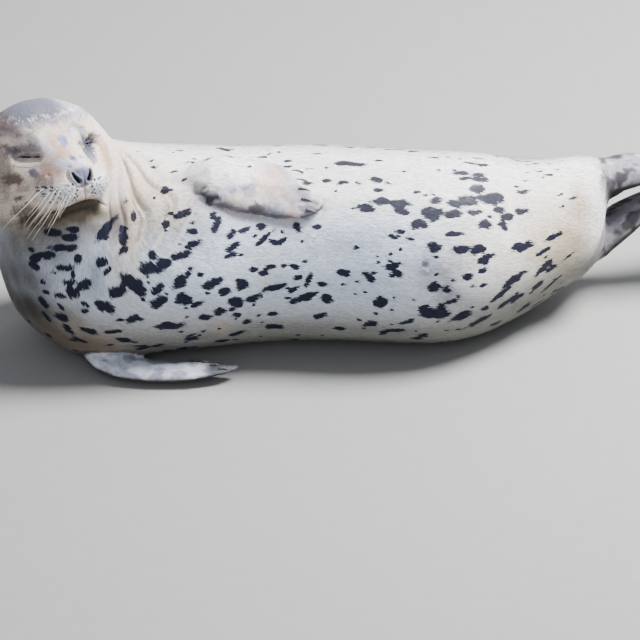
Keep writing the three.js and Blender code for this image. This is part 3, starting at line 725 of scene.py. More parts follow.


# Patches on the head, of another coat colour, some partly painted shade: left, up, reach across, reach
# up, colour, share.
# Partly painted shade: over the right eye (left -43, -54), on the right temple (-46) and cheek (-72),
# and under the chin (up -60 and below).
HEAD_PATCHES_AND_SHADE = [
    (-43, 15, 17, 6, (84, 86, 104), 0.65), (-54, 12, 8, 10, (70, 66, 78), 0.6),
    (-34, 23, 7, 6, (92, 96, 120), 0.6), (-38, 31, 8, 4, (104, 108, 130), 0.5),
    (-22, 18, 6, 14, (206, 206, 214), 0.8), (-45, 0, 16, 3.5, (226, 220, 208), 0.8),
    (-42, -13, 5, 6, (66, 76, 112), 0.85), (-61, -17, 9.5, 8, (74, 54, 46), 0.85),
    (-57, -30, 7, 5, (150, 126, 114), 0.6), (-58, -41, 5, 5, (70, 52, 46), 0.85),
    (-37, -21, 7, 10, (158, 128, 116), 0.7), (-28, -10, 8, 8, (196, 154, 140), 0.8),
    (-6, 8, 10, 9, (214, 170, 152), 0.8), (-12, 22, 8, 8, (200, 160, 146), 0.6),
    (-2, 18, 5, 7.5, (104, 122, 172), 0.85), (20, 28, 11, 5, (96, 100, 122), 0.6),
    (28, 20, 8, 8, (88, 92, 116), 0.6), (17, 23, 5, 7, (232, 232, 238), 0.7),
    (18, 4, 8, 8, (232, 214, 204), 0.5), (32, 6, 17, 12, (36, 40, 60), 0.95),
    (29, -6, 11, 8, (78, 84, 108), 0.8), (-12, -5, 10, 6, (214, 220, 236), 0.8),
    (6, -8, 9, 5, (206, 214, 234), 0.8), (-3, 0, 3.5, 3, (84, 92, 128), 0.85),
    (-10, -8, 2.5, 2.5, (110, 116, 150), 0.6), (8, -1, 3, 2.5, (120, 126, 156), 0.6),
    (56, -11, 8, 22, (178, 146, 118), 0.85), (60, 14, 8, 14, (212, 204, 204), 0.7),
    (52, -50, 9, 16, (176, 176, 184), 0.6), (-46, 43, 8, 16, (110, 92, 86), 0.7),
    (-72, 0, 14, 44, (112, 98, 90), 0.6), (-30, -62, 20, 8, (116, 104, 84), 0.7),
    (-50, -60, 12, 12, (84, 74, 66), 0.8), (-40, -74, 18, 12, (60, 52, 46), 0.9),
    (-4, -73, 24, 9, (70, 64, 58), 0.75),
]


def paint_head(q):
    f, l, u = q.T
    where = from_head(q)
    rough = 0.26 * waves(where, 15, 31) + 0.2 * waves(where, 6.5, 32) + 0.14 * waves(where, 3, 33)
    colour = plain((214, 198, 188), q)
    behind = np.maximum(0, -f - 6)
    crown = ramp(u + 0.25 * (20 - f) + 0.8 * behind + 12 * rough, 24 - 0.5 * behind, 42 + 0.3 * behind)
    paint(colour, (100, 102, 120), 0.95 * crown)
    # painted light: the crown is paler on the head's left side, where the light falls
    paint(colour, (200, 200, 214), 0.6 * crown * ramp(l, 14, 36) * ramp(l, 66, 50))
    # painted sheen: pale flecks along the top of the crown
    paint(colour, (236, 232, 232), 0.6 * crown * bell(u - 44, 4) * ramp(rough, 0, 0.2))
    # under the chin: brownish coat darkened with painted shade
    paint(colour, (120, 108, 88), 0.8 * ramp(u, -60, -78))
    # coat patches, some of them partly painted shade
    for l0, u0, across, high, tint, share in HEAD_PATCHES_AND_SHADE:
        r = np.hypot((l - l0) / across, (u - u0) / high)
        paint(colour, tint, share * ramp(r + rough, 1.3, 0.5) * ramp(f, -34, -6))
    paint_muzzle(colour, q, rough)
    # painted shade in the small ear openings
    paint(colour, (24, 20, 20), 0.9 * bell(ear_distance(q), 2.4))
    paint_eyelids(colour, q, rough)
    return colour


def paint_muzzle(colour, q, rough):
    """Whisker pads, lips, chin, follicles, nose pad and nostrils."""
    f, l, u = q.T
    out = np.abs(l)
    front = ramp(f, 30, 52)
    pad = ramp(np.hypot((out - 25) / 21, (u + 37) / 16) + 0.5 * rough, 1.05, 0.75) * front
    paint(colour, (226, 228, 236), 0.9 * pad)
    mouth = above_mouth(l, u)
    lips = ramp(f, 42, 54) * ramp(out, 36, 26)
    paint(colour, (178, 146, 120), 0.7 * lips * bell(mouth - 3, 4) * ramp(out, 26, 10))
    # the lower lip and chin are dark brown skin and coat, with painted shade under the overhanging upper
    # lip; the black line along the mouth is the lips' dark edge with painted shade in the crease
    chin = lips * ramp(mouth, 1, -1) * ramp(mouth, -34, -16) * ramp(out, 38, 24)
    paint(colour, (96, 84, 66), 0.8 * chin)
    jaw = lips * ramp(mouth, 1, -1) * ramp(mouth + 6 * rough, -20, -10) * ramp(out, 32, 20)
    paint(colour, (36, 30, 20), 0.95 * jaw)
    paint(colour, (74, 64, 42), 0.6 * jaw * bell(mouth + 6, 3))
    paint(colour, (16, 12, 12), 0.97 * lips * bell(mouth, 1.6))
    for l0, u0, size in FOLLICLES:
        r = np.hypot(out - l0, u - u0) / size
        paint(colour, (14, 17, 36), 0.97 * front * ramp(r, 1.1, 0.6))
    reach = nose_reach(l, u) + 0.3 * rough
    pad_edge = np.where(u > NOSE_PAD["at"] + 4, 0.35, 0.14)
    paint(colour, (92, 98, 124), 0.95 * front * ramp(reach, 1.0 + pad_edge, 1.0 - pad_edge))
    # painted shade: the nose pad is darker on its lower half
    paint(colour, (56, 58, 76), 0.5 * front * ramp(reach, 1.0, 0.7) * ramp(u, -18, -30))
    # painted shade: the nostril slits are black inside
    paint(colour, (6, 5, 8), front * ramp(in_nostril(out, u), 1.35, 0.8))


def paint_eyelids(colour, q, rough):
    """Dark skin round the eyes, a pale rim under the right one, and black slits."""
    for side in (1, -1):
        a, b, edge, c, _ = from_slit(q, side)
        around = ramp(c, 0, 6)
        ring = around * ramp(edge + 3 * rough, 5.0, 0.8) * ramp(np.abs(a), 18, 12)
        shade = np.where(b > 0, 0.6, 0.3) if side < 0 else 0.9
        paint(colour, (60, 64, 88), shade * ring)
        pale = around * bell(edge - 6.4, 1.3) * (b < 0) * ramp(np.abs(a), 16, 10) * (side < 0)
        paint(colour, (232, 222, 204), 0.65 * pale * ramp(rough, -0.25, 0.2))
        paint(colour, (5, 4, 5), around * ramp(edge, 0.8, 0.1))


HEAD_TRIES = 130


def head_spots(q):
    """Dark marks behind the face, on the crown's sides and under the chin."""
    spots = np.zeros(len(q))
    way = unit(q - [0, 0, -12])
    rng = np.random.default_rng(SEED + 1)
    for _ in range(HEAD_TRIES):
        centre = rng.normal(size=3)
        if centre[0] > -0.25 * np.linalg.norm(centre):
            continue
        size = rng.uniform(2, 5)
        apart = 78 * size_of(way - unit(centre))
        spots = np.maximum(spots, np.exp(-HALVING * (apart / size) ** 2))
    return spots


# Marks on the upper front flipper: x, y, z, reach, colour, share.
LIMB_MARKS = [
    ((-141, -101, 231), 10, (30, 30, 42), 0.95), ((-128, -109, 223), 11, (34, 34, 46), 0.95),
    ((-90, -90, 229), 8, (110, 112, 140), 0.8), ((-104, -98, 229), 8, (130, 132, 156), 0.8),
    ((-98, -84, 239), 7, (104, 108, 140), 0.8), ((-75, -103, 201), 10, (58, 54, 66), 0.85),
    ((-66, -103, 203), 9, (84, 78, 88), 0.7), ((-108, -67, 249), 6, (60, 62, 82), 0.8),
    ((-51, -101, 197), 11, (124, 128, 150), 0.6), ((-12, -98, 198), 13, (96, 100, 118), 0.8),
    ((-28, -78, 216), 8, (120, 124, 150), 0.6), ((-16, -84, 212), 7, (126, 130, 152), 0.6),
    ((-60, -74, 228), 22, (226, 194, 178), 0.7), ((-45, -84, 216), 16, (206, 190, 190), 0.6),
]


def paint_limbs(p, normal):
    """Thinly furred flipper skin: pinkish grey, darker towards the tips, with painted shade beneath,
    between the hind flippers and under the chest, and painted light on the lower front flipper's top.
    """
    fine = waves(p, 11, 45)
    fore_left = (p[:, 2] > 120) & (p[:, 0] < 60)
    fore_right = (p[:, 0] < 0) & (p[:, 2] < 60)
    hind = p[:, 0] > 280
    colour = plain((196, 190, 198), p)
    paint(colour, (214, 196, 190), ramp(waves(p, 46, 41), -0.2, 0.7) * 0.7)
    paint(colour, (146, 146, 164), ramp(waves(p, 24, 42) + 0.3 * fine, 0.1, 0.7) * 0.6)
    for at, reach, tint, share in LIMB_MARKS:
        r = size_of(p - at) / reach
        paint(colour, tint, share * ramp(r + 0.3 * fine, 1.15, 0.7) * fore_left)
    # painted shade beneath the upper front flipper, where it faces down
    paint(colour, (88, 84, 96), 0.8 * fore_left * ramp(normal[:, 2], 0.1, -0.25))
    # painted light: the lower front flipper is bluish white where it faces up
    paint(colour, (210, 216, 230), 0.85 * fore_right * ramp(normal[:, 2], 0.0, 0.5))
    blotch = ramp(waves(p, 26, 43) + 0.3 * fine, 0.0, 0.3) * ramp(normal[:, 2], 0, 0.4)
    paint(colour, (92, 102, 128), 0.55 * fore_right * blotch)
    # painted shade beneath the lower front flipper
    paint(colour, (28, 22, 22), 0.9 * fore_right * ramp(normal[:, 2], 0.2, -0.2))
    # painted shade over the lower front flipper's root half, where it lies under the chest
    paint(colour, (40, 40, 48), 0.85 * fore_right * ramp(p[:, 0], -146, -126))
    paint(colour, (140, 135, 146), 0.9 * hind)
    paint(colour, (196, 190, 188), 0.6 * hind * ramp(waves(p, 26, 46) + 0.5 * fine, 0.1, 0.7))
    paint(colour, (44, 40, 48), 0.85 * hind * ramp(waves(p, 34, 44) + 0.5 * fine, 0, 0.6))
    # painted shade beneath the hind flippers
    paint(colour, (24, 20, 24), 0.9 * hind * ramp(normal[:, 2], -0.1, -0.5))
    # painted shade between the hind flippers
    between = hind * ramp(p[:, 2], 150, 140) * ramp(p[:, 2], 104, 116) * ramp(p[:, 0], 322, 345)
    paint(colour, (18, 14, 18), 0.85 * between)
    return colour


def markings(p, normal, limb_share):
    """Each point's base colour, spot field and the darkness of its spots."""
    q = in_head(p)
    head = headness(p)
    colour = paint_trunk(p)
    near = head > 0
    colour[near] += (paint_head(q[near]) - colour[near]) * head[near, None]
    colour += (paint_limbs(p, normal) - colour) * limb_share[:, None]
    spot = spot_field(p) * (1 - head) * (1 - limb_share)
    spot[near] = np.maximum(spot[near], head_spots(q[near]) * head[near])
    x, angle = round_trunk(p)
    # painted light: spots are a little less dark on the trunk's upper side
    dark = 0.97 + 0.02 * np.maximum(ramp(angle, 44, 26) * ramp(angle, -150, -60), ramp(x, -235, -265))
    return {"tint": colour, "spot": spot, "dark": np.where(head > 0.5, 0.75, dark)}


def bare_share(q):
    """1 on skin without hair: nose, lips and lid margins."""
    f, l, u = q.T
    bare = ramp(f, 38, 58) * ramp(nose_reach(l, u), 1.1, 0.95)
    lips = ramp(f, 42, 54) * ramp(np.abs(l), 40, 32) * bell(above_mouth(l, u) + 1, 3)
    bare = np.maximum(bare, lips)
    for side in (1, -1):
        _, _, edge, c, _ = from_slit(q, side)
        bare = np.maximum(bare, ramp(c, 2, 8) * ramp(edge, 3.4, 1.6))
    return bare


def lie_of(p, normal):
    """The way the hair lies: back from the nose over the head, then along the body."""
    away = p - NOSE_TIP
    far = ramp(size_of(away), 100, 240)[:, None]
    way = unit(away) * (1 - far) + np.array([1.0, 0.0, -0.06]) * far
    way = way - normal * np.sum(way * normal, axis=1)[:, None]
    return unit(way)


FRONT_SPOTS = front_spots()
bare = bare_share(in_head(skin))
skin_marks = markings(skin, normals, limb)
for key, values in {**skin_marks, "bare": bare, "limb": limb, "lie": lie_of(skin, normals)}.items():
    store(skin_mesh, key, values)


# ---- Materials ----

class Nodes:
    """A material's node tree, with short ways to add to it."""

    def __init__(self, name):
        self.material = bpy.data.materials.new(name)
        self.material.use_nodes = True
        self.tree = self.material.node_tree

    def fill(self, node, inputs):
        """Links each input to a socket, or sets it to a constant."""
        for key, value in inputs.items():
            if isinstance(value, bpy.types.NodeSocket):
                self.tree.links.new(value, node.inputs[key])
            else:
                node.inputs[key].default_value = value

    def add(self, kind, output, inputs, **settings):
        node = self.tree.nodes.new(kind)
        for key, value in settings.items():
            setattr(node, key, value)
        self.fill(node, inputs)
        return node.outputs[output]

    def surface(self, **inputs):
        """Fills the shader's sockets, whose names have _ for a space here."""
        inputs = {key.replace("_", " "): value for key, value in inputs.items()}
        self.fill(self.tree.nodes["Principled BSDF"], inputs)
        return self.material

    def attribute(self, name, output="Fac"):
        return self.add("ShaderNodeAttribute", output, {}, attribute_name=name)

    def position(self):
        return self.add("ShaderNodeNewGeometry", "Position", {})

    def math(self, operation, a, b):
        return self.add("ShaderNodeMath", 0, {0: a, 1: b}, operation=operation)

    def plus(self, a, b):
        return self.math("ADD", a, b)

    def less(self, a, b):
        return self.math("SUBTRACT", a, b)

    def times(self, a, b):
        return self.math("MULTIPLY", a, b)

    def shifted(self, a, b):
        return self.add("ShaderNodeVectorMath", 0, {0: a, 1: b}, operation="ADD")

    def scaled(self, a, by):
        return self.add("ShaderNodeVectorMath", 0, {0: a, "Scale": by}, operation="SCALE")

    def noise(self, where, scale, detail):
        inputs = {"Vector": where, "Scale": scale, "Detail": detail}
        return self.add("ShaderNodeTexNoise", "Fac", inputs)

    def map(self, value, a, b, low, high):
        inputs = {"Value": value, "From Min": a, "From Max": b, "To Min": low, "To Max": high}
        return self.add("ShaderNodeMapRange", 0, inputs, interpolation_type="SMOOTHSTEP")

    def blend(self, share, a, b):
        return self.add("ShaderNodeMix", 2, {0: share, 6: a, 7: b}, data_type="RGBA")

    def bump(self, height, distance, strength):
        inputs = {"Height": height, "Distance": distance, "Strength": strength}
        return self.add("ShaderNodeBump", "Normal", inputs)


def rgba(*srgb):
    return (*[float(c) for c in linear(*srgb)], 1.0)


STREAK_STEPS = (-2, -1, 0, 1, 2)


def hair_streaks(n, where, lie, scale, step):
    """Noise drawn out along the lie of the hair, about 0.5 on average."""
    total = 0.0
    for k in STREAK_STEPS:
        moved = n.shifted(where, n.scaled(lie, k * step))
        total = n.plus(total, n.noise(moved, scale, 1.0))
    return n.math("DIVIDE", total, float(len(STREAK_STEPS)))


def coat_colour(n, streak, clump, contrast):
    """Markings shared by skin and hair: the tint, broken by dark spots with ragged edges."""
    ragged = n.plus(n.attribute("spot"), n.times(n.less(streak, 0.5), contrast))
    share = n.times(n.map(ragged, 0.31, 0.5, 0.0, 1.0), n.attribute("dark"))
    tint = n.scaled(n.attribute("tint", "Vector"), n.map(clump, 0.38, 0.62, 0.74, 1.1))
    return n.blend(share, tint, rgba(*SPOT_DARK))


def skin_material():
    n = Nodes("seal_coat")
    where = n.position()
    lie = n.attribute("lie", "Vector")
    bare = n.attribute("bare")
    haired = n.less(1.0, bare)
    fine = hair_streaks(n, where, lie, 950.0, 0.0011)
    broad = hair_streaks(n, where, lie, 190.0, 0.005)
    streak = n.plus(n.times(fine, 0.6), n.times(broad, 0.4))
    colour = coat_colour(n, streak, streak, 1.0)
    mottle = n.map(n.noise(where, 90.0, 4.0), 0.35, 0.7, 0.72, 1.15)
    colour = n.blend(n.attribute("limb"), colour, n.scaled(colour, mottle))
    hair_rough = n.map(streak, 0.3, 0.7, 0.5, 0.72)
    bare_rough = n.map(n.noise(where, 600.0, 3.0), 0.3, 0.7, 0.28, 0.5)
    rough = n.plus(n.times(hair_rough, haired), n.times(bare, bare_rough))
    pores = n.times(n.noise(where, 1100.0, 3.0), n.times(bare, 0.35))
    relief = n.bump(n.plus(n.times(streak, haired), pores), 0.0012, 0.55)
    return n.surface(
        Base_Color=colour, Roughness=rough, Normal=relief, Specular_IOR_Level=0.25,
        Sheen_Weight=0.04, Sheen_Roughness=0.45,
    )


def fur_material():
    n = Nodes("seal_fur")
    own = n.attribute("own")
    clump = hair_streaks(n, n.position(), n.attribute("lie", "Vector"), 420.0, 0.0022)
    clump = n.plus(n.plus(n.times(clump, 0.75), n.times(own, 0.2)), 0.025)
    return n.surface(
        Base_Color=coat_colour(n, own, clump, 0.3), Roughness=n.map(own, 0.0, 1.0, 0.5, 0.72),
        Normal=n.bump(n.noise(n.position(), 2200.0, 1.0), 0.0003, 0.3), Specular_IOR_Level=0.18,
        Sheen_Weight=0.03, Sheen_Roughness=0.45,
    )


def eye_material():
    """A black pupil, a dark brown iris and a dull brownish white, from the pupil's middle."""
    n = Nodes("seal_eye")
    out = n.attribute("from_pupil")
    fibres = n.noise(n.position(), 1600.0, 3.0)
    iris = n.blend(n.map(fibres, 0.3, 0.7, 0.0, 1.0), rgba(34, 20, 14), rgba(64, 40, 26))
    colour = n.blend(n.map(out, 12.0, 15.0, 0.0, 1.0), rgba(4, 3, 4), iris)
    colour = n.blend(n.map(out, 36.0, 40.0, 0.0, 1.0), colour, rgba(70, 58, 54))
    rough = n.map(fibres, 0.2, 0.8, 0.06, 0.14)
    return n.surface(Base_Color=colour, Roughness=rough, Coat_Weight=0.5, Coat_Roughness=0.03)


def claw_material():
    n = Nodes("seal_claw")
    grain = n.noise(n.position(), 500.0, 4.0)
    colour = n.blend(n.map(grain, 0.3, 0.75, 0.0, 1.0), rgba(38, 34, 34), rgba(110, 100, 90))
    rough = n.map(grain, 0.2, 0.8, 0.3, 0.55)
    return n.surface(Base_Color=colour, Roughness=rough, Normal=n.bump(grain, 0.0003, 0.4))


def whisker_material():
    n = Nodes("seal_whisker")
    grain = n.noise(n.position(), 300.0, 2.0)
    colour = n.blend(grain, rgba(238, 232, 218), rgba(196, 186, 166))
    return n.surface(Base_Color=colour, Roughness=n.map(grain, 0.3, 0.7, 0.3, 0.5))


def floor_material():
    n = Nodes("floor")
    grain = n.noise(n.position(), 40.0, 5.0)
    colour = n.blend(grain, rgba(134, 134, 133), rgba(142, 141, 139))
    return n.surface(Base_Color=colour, Roughness=0.85)


FUR = fur_material()


def finish_piece(obj, material, replaced=()):
    """Gives a piece its look and says where it belongs and what it stands in for."""
    obj.data.materials.clear()
    obj.data.materials.append(material)
    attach(obj, "root")
    if replaced:
        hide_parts(*replaced)


finish_piece(add_object("skin", skin_mesh), skin_material(), FLESH)


# ---- Fur: short flat tufts that lie over one another ----

TUFTS = 230000
# Length and half width of a tuft in each region, in mm.
TUFT = {"trunk": (6.5, 0.6), "head": (4.5, 0.5), "face": (3.0, 0.42), "limb": (2.1, 0.3)}
TUFT_LIFT = (-0.15, 0.45, 0.62)  # over the skin at the root, the middle and the tip
TUFT_FACES = np.array([(0, 1, 3), (0, 3, 2), (2, 3, 4)])
PIECE_TUFTS = 60000
PATCH = 0.003  # how large a tuft is on its region's unwrap


def sample_skin():
    """Tuft roots spread over the skin: each one's face and place in it."""
    rng = np.random.default_rng(SEED + 2)
    a, b, c = (skin[skin_tris[:, k]] for k in range(3))
    area = size_of(np.cross(b - a, c - a)) / 2
    middle = (a + b + c) / 3
    head = ramp(size_of(middle - from_head(SKULL)), 125, 100)
    smaller = 1 + 2.2 * head + 1.2 * limb[skin_tris[:, 0]]
    hairless = bare[skin_tris].max(1)
    weight = area * smaller * (hairless < 0.3) * (middle[:, 2] > 1.5)
    index = np.sort(rng.choice(len(area), TUFTS, p=weight / weight.sum()))
    u, v = rng.random((2, TUFTS))
    over = u + v > 1
    u, v = np.where(over, 1 - u, u), np.where(over, 1 - v, v)
    return index, np.stack([1 - u - v, u, v], axis=1), rng


def at_roots(values, index, bary):
    corner = values[skin_tris[index]]
    return np.einsum("nk,nk...->n...", bary, corner)


def chart(root, normal, region):
    """A root's place on an unwrap of its region, from 0 to 1 each way."""
    x, angle = round_trunk(root)
    if region == "head":
        q = in_head(root) - [0, 0, -10]
        r = size_of(q)
        u = (np.arctan2(q[:, 1], q[:, 0]) / math.pi + 1) / 2
        v = np.arccos(np.clip(q[:, 2] / r, -1, 1)) / math.pi
    elif region == "limb":
        hind = root[:, 0] > 0
        quarter = hind * 2 + np.where(hind, root[:, 2] > 125, root[:, 2] > 110)
        local = np.where(hind, (root[:, 0] - 290) / 240, (root[:, 0] + 300) / 320)
        across = np.where(hind, (root[:, 1] - 40) / 160, (root[:, 1] + 190) / 240)
        u = (np.clip(local, 0, 1) + quarter) / 4
        v = (np.clip(across, 0, 1) + (normal[:, 2] > 0)) / 2
    else:
        u = (x + 480) / 960
        v = (angle + 180) / 360
    return np.stack([0.01 + 0.98 * u, 0.01 + 0.98 * v], axis=1)


def build_fur():
    """Every tuft's root, five points and looks."""
    index, bary, rng = sample_skin()
    root = at_roots(skin, index, bary)
    up = unit(at_roots(normals, index, bary))
    limb_here = at_roots(limb, index, bary)
    near_bare = at_roots(bare, index, bary)
    q = in_head(root)
    head = ramp(size_of(q - SKULL), 130, 100)
    face = ramp(q[:, 0], 25, 60) * head
    way = lie_of(root, up)
    across = np.cross(up, way)
    turn = rng.normal(0, 0.13, len(root))[:, None]
    way = unit(way + across * turn)
    across = np.cross(up, way)
    size = np.array([TUFT["trunk"]] * len(root))
    for region, share in (("head", head), ("face", face), ("limb", limb_here)):
        size += (np.array(TUFT[region]) - size) * share[:, None]
    length = size[:, 0] * rng.uniform(0.7, 1.25, len(root)) * (1 - 0.6 * near_bare)
    half = size[:, 1] * rng.uniform(0.75, 1.25, len(root))
    flat = np.clip(length / 8, 0.35, 1)
    low = root + up * TUFT_LIFT[0]
    middle = root + way * (0.5 * length)[:, None] + up * (TUFT_LIFT[1] * flat)[:, None]
    tip = root + way * length[:, None] + up * (TUFT_LIFT[2] * flat)[:, None]
    aside = across * half[:, None]
    narrow = across * (0.7 * half)[:, None]
    corners = [low + narrow, low - narrow, middle + aside, middle - aside, tip]
    points = np.stack(corners, axis=1)
    points[..., 2] = np.maximum(points[..., 2], 0.2)
    return {
        **markings(root + way * (0.55 * length)[:, None], up, limb_here),
        "root": root, "up": up, "points": points, "own": rng.random(len(root)),
        "limb": limb_here, "head": head, "lie": way,
    }


def fur_piece(name, fur, chosen, region):
    """One piece of the coat, made of the chosen tufts."""
    points = fur["points"][chosen]
    count = len(points)
    faces = (TUFT_FACES[None] + 5 * np.arange(count)[:, None, None]).reshape(-1, 3)
    mesh = mesh_from(name, to_row(points.reshape(-1, 3)), faces)
    for key in ("tint", "spot", "dark", "own", "lie"):
        store(mesh, key, np.repeat(fur[key][chosen], 5, axis=0))
    place = chart(fur["root"][chosen], fur["up"][chosen], region)
    corners = np.array([(0, 0), (1, 0), (0, 0.5), (1, 0.5), (0.5, 1)]) - 0.5
    uv = place[:, None, :] + corners[None] * PATCH
    layer = mesh.uv_layers.new(name="OFBake")
    layer.data.foreach_set("uv", uv.reshape(-1, 2)[faces.ravel()].astype(np.float32).ravel())
    mesh.normals_split_custom_set_from_vertices(np.repeat(fur["up"][chosen], 5, axis=0))
    finish_piece(add_object(name, mesh), FUR)


def add_fur():
    fur = build_fur()
    on_limb = fur["limb"] > 0.6
    on_head = (fur["head"] > 0.5) & ~on_limb
    head = np.nonzero(on_head)[0]
    body = np.nonzero(~on_limb & ~on_head)[0]
    body = body[np.argsort(fur["root"][body, 0], kind="stable")]
    fur_piece("fur_flippers", fur, np.nonzero(on_limb)[0], "limb")
    for name, chosen, region in (("fur_head", head, "head"), ("fur_body", body, "trunk")):
        count = max(1, math.ceil(len(chosen) / PIECE_TUFTS))
        for k, part in enumerate(np.array_split(chosen, count)):
            fur_piece(f"{name}_{k + 1}", fur, part, region)


add_fur()


# ---- Eyes, claws and whiskers ----

def build_eye(name, side):
    """An eyeball whose front stands out a little."""
    bm = bmesh.new()
    bmesh.ops.create_uvsphere(bm, u_segments=64, v_segments=40, radius=1)
    points = np.array([v.co for v in bm.verts])
    mesh = bpy.data.meshes.new(name)
    bm.to_mesh(mesh)
    bm.free()
    look, level, high = eye_axes(side)
    way = unit(points) @ np.array([level, high, look])
    angle = np.degrees(np.arccos(np.clip(way @ look, -1, 1)))
    radius = EYE_RADIUS - 0.1 + 0.35 * ramp(angle, 38, 10)
    mesh.polygons.foreach_set("use_smooth", np.full(len(mesh.polygons), True))
    move(mesh, from_head(EYE * [1, side, 1] + way * radius[:, None]))
    store(mesh, "from_pupil", angle)
    replaced = ["eye_left" if side > 0 else "eye_right"]
    finish_piece(add_object(name, mesh), EYE_MATERIAL, replaced)


EYE_MATERIAL = eye_material()
build_eye("eyeball_left", 1)
build_eye("eyeball_right", -1)


def tube(points, radii, sides=6):
    """A closed tapering tube along a line of points."""
    points = np.asarray(points, float)
    along = unit(np.gradient(points, axis=0))
    side = unit(np.cross(along, [0.31, 0.17, 0.93]))
    other = np.cross(along, side)
    angles = np.arange(sides) * 2 * math.pi / sides
    cos, sin = np.cos(angles)[:, None], np.sin(angles)[:, None]
    ring = side[:, None] * cos + other[:, None] * sin
    co = (points[:, None] + ring * np.asarray(radii)[:, None, None]).reshape(-1, 3)
    n = len(points)
    faces = []
    for i in range(n - 1):
        for j in range(sides):
            k = (j + 1) % sides
            a, b = i * sides, (i + 1) * sides
            faces += [(a + j, a + k, b + k), (a + j, b + k, b + j)]
    first, last = len(co), len(co) + 1
    co = np.concatenate([co, points[:1], points[-1:]])
    for j in range(sides):
        k = (j + 1) % sides
        faces += [(first, k, j), (last, (n - 1) * sides + j, (n - 1) * sides + k)]
    return co, np.array(faces)


CLAW_MATERIAL = claw_material()


def extent(co):
    return np.linalg.norm(np.ptp(co, axis=0))


def build_claw(name):
    """A slim hooked claw from the root of the CAD claw to its tip."""
    co, _ = node_points(name)
    co = to_animal(co)
    centre = co.mean(0)
    along = (co - centre) @ np.linalg.svd(co - centre)[2][0]
    low, high = np.percentile(along, (30, 70))
    if extent(co[along > high]) > extent(co[along < low]):
        along = -along
    root = co[along < np.percentile(along, 25)].mean(0)
    tip = co[np.argmax(along)]
    t = np.linspace(0, 1, 14)
    hook = np.array([0, 0, 1.0]) * np.linalg.norm(tip - root) * 0.1
    line = root + (tip - root) * (0.9 * t[:, None]) + hook * np.sin(math.pi * t)[:, None]
    radii = 1.55 * (1 - t) ** 0.6 + 0.12
    points, faces = tube(line, radii, 12)
    horn = add_object(f"{name}_horn", mesh_from(name, to_row(points), faces))
    finish_piece(horn, CLAW_MATERIAL, [name])


for node_name in list(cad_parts):
    if "_claw_" in node_name:
        build_claw(node_name)


skin_tree = BVHTree.FromPolygons(skin.tolist(), skin_tris.tolist())


def on_face(l, u):
    """The skin's point at this distance left and up, seen from in front."""
    start = from_head([160, l, u])
    hit = skin_tree.ray_cast(Vector(start), Vector(-FORWARD))
    return np.array(hit[0])


WHISKER_REACH = -188.0  # the furthest forwards, in y, that a whisker's tip may lie


def whisker(root, way, length, droop, rng):
    """A fine hair that bends by its droop, shortened where it would reach too far."""
    steps = 16
    forwards = way[1] + droop[1]
    if root[1] + forwards * length < WHISKER_REACH:
        length = (WHISKER_REACH - root[1]) / forwards
    points = [root - way * 1.5]
    for i in range(1, steps + 1):
        t = i / steps
        bend = droop * t * t * length
        wave = 0.9 * math.sin(t * 9 + rng.uniform(0, 0.5)) * t
        points.append(root + way * length * t + bend + np.cross(way, [0, 0, 1]) * wave)
    t = np.linspace(0, 1, steps + 1)
    radii = (0.42 - 0.3 * t) * (1 + 0.1 * np.sin(t * 60))
    return tube(points, radii, 6)


BROW_WHISKERS = ((-30, 32, 24), (-27, 33, 20), (12, 35, 22), (30, 33, 22), (33, 31, 17))


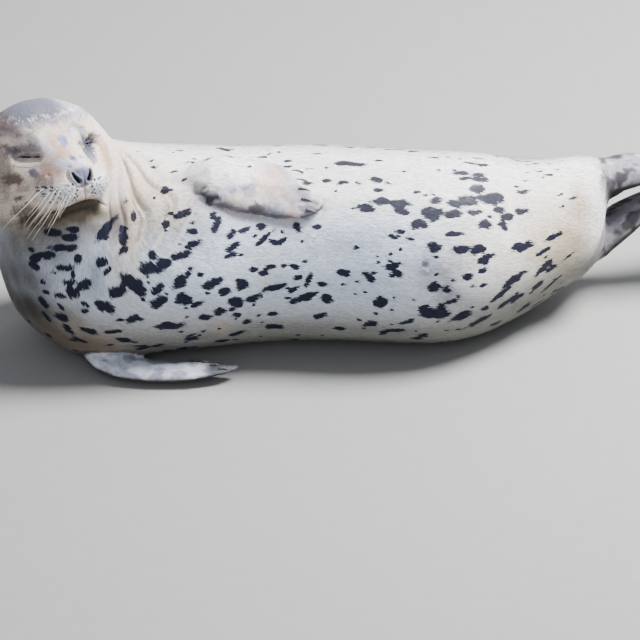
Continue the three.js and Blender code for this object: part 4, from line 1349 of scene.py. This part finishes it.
def add_whiskers():
    """Whiskers on the pads, shorter and fewer on the left, and a few over the eyes."""
    rng = np.random.default_rng(SEED + 3)
    parts = []
    for side in (1, -1):
        for l, u, _ in FOLLICLES:
            if l < 16 or (side > 0 and u > -34):
                continue
            length = (14 + 1.9 * (l - 14) + 1.4 * max(0, -u - 32)) * rng.uniform(0.75, 1.25)
            length *= 0.45 if side > 0 else 1.0
            if rng.random() < (0.45 if side < 0 else 0.3):
                length *= 0.3
            root = on_face(side * l, u)
            back = 0.15 + 0.012 * l
            down = 0.4 + 0.014 * max(0, -u - 25)
            way = unit(0.42 * FORWARD * (1 - back) + side * LEFT * (0.35 + 0.012 * l) - UP * down)
            way = unit(way + rng.normal(0, 0.07, 3))
            droop = -0.2 * UP - 0.32 * FORWARD
            parts.append(whisker(root, way, min(length, 84), droop, rng))
    for l, u, length in BROW_WHISKERS:
        root = on_face(l, u)
        way = unit(UP + 0.35 * LEFT * np.sign(l) + 0.4 * FORWARD + rng.normal(0, 0.16, 3))
        parts.append(whisker(root, way, length, -0.3 * FORWARD, rng))
    points, faces = joined(parts)
    mesh = mesh_from("whiskers", to_row(points), faces)
    finish_piece(add_object("whiskers", mesh), whisker_material())


add_whiskers()


# ---- Floor, light and camera ----

FLOOR_HALF = 14.0


def add_floor():
    corners = [(x * FLOOR_HALF, y * FLOOR_HALF, 0) for x, y in ((-1, -1), (1, -1), (1, 1), (-1, 1))]
    mesh = mesh_from("floor", corners, [(0, 1, 2, 3)])
    floor = add_object("floor", mesh)
    floor.data.materials.append(floor_material())


def add_light(name, at, towards, size, power, colour=(1, 1, 1)):
    light = bpy.data.lights.new(name, "AREA")
    light.shape = "DISK"
    light.size = size
    light.energy = power
    light.color = colour
    obj = bpy.data.objects.new(name, light)
    obj.location = at
    obj.rotation_euler = (Vector(towards) - Vector(at)).to_track_quat("-Z", "Y").to_euler()
    bpy.context.scene.collection.objects.link(obj)


add_floor()
add_light("key", (1.3, 0.35, 2.3), (0, 0, 0.1), 1.3, 350)
add_light("fill", (-0.6, -3.0, 1.6), (0, 0, 0.1), 2.4, 26, (0.93, 0.96, 1.0))
add_light("back", (1.0, 2.6, 1.8), (0, 0, 0.1), 2.0, 26)
world = bpy.data.worlds.new("studio")
world.use_nodes = True
sky = world.node_tree.nodes["Background"].inputs
sky["Color"].default_value = (0.86, 0.9, 1.0, 1)
sky["Strength"].default_value = 0.5
bpy.context.scene.world = world

CAMERA = {"elevation": 28.0, "target": (0.0, -49.2, 26.8), "distance": 6.0, "lens": 281.0}


def add_camera():
    tilt = math.radians(CAMERA["elevation"])
    target = Vector(to_row(np.array(CAMERA["target"])))
    back = Vector((0, -math.cos(tilt), math.sin(tilt)))
    data = bpy.data.cameras.new("camera")
    data.sensor_width = 36.0
    data.lens = CAMERA["lens"]
    data.clip_end = 50
    camera = bpy.data.objects.new("camera", data)
    camera.location = target + back * CAMERA["distance"]
    camera.rotation_euler = (math.radians(90 - CAMERA["elevation"]), 0, 0)
    bpy.context.scene.collection.objects.link(camera)
    bpy.context.scene.camera = camera


add_camera()
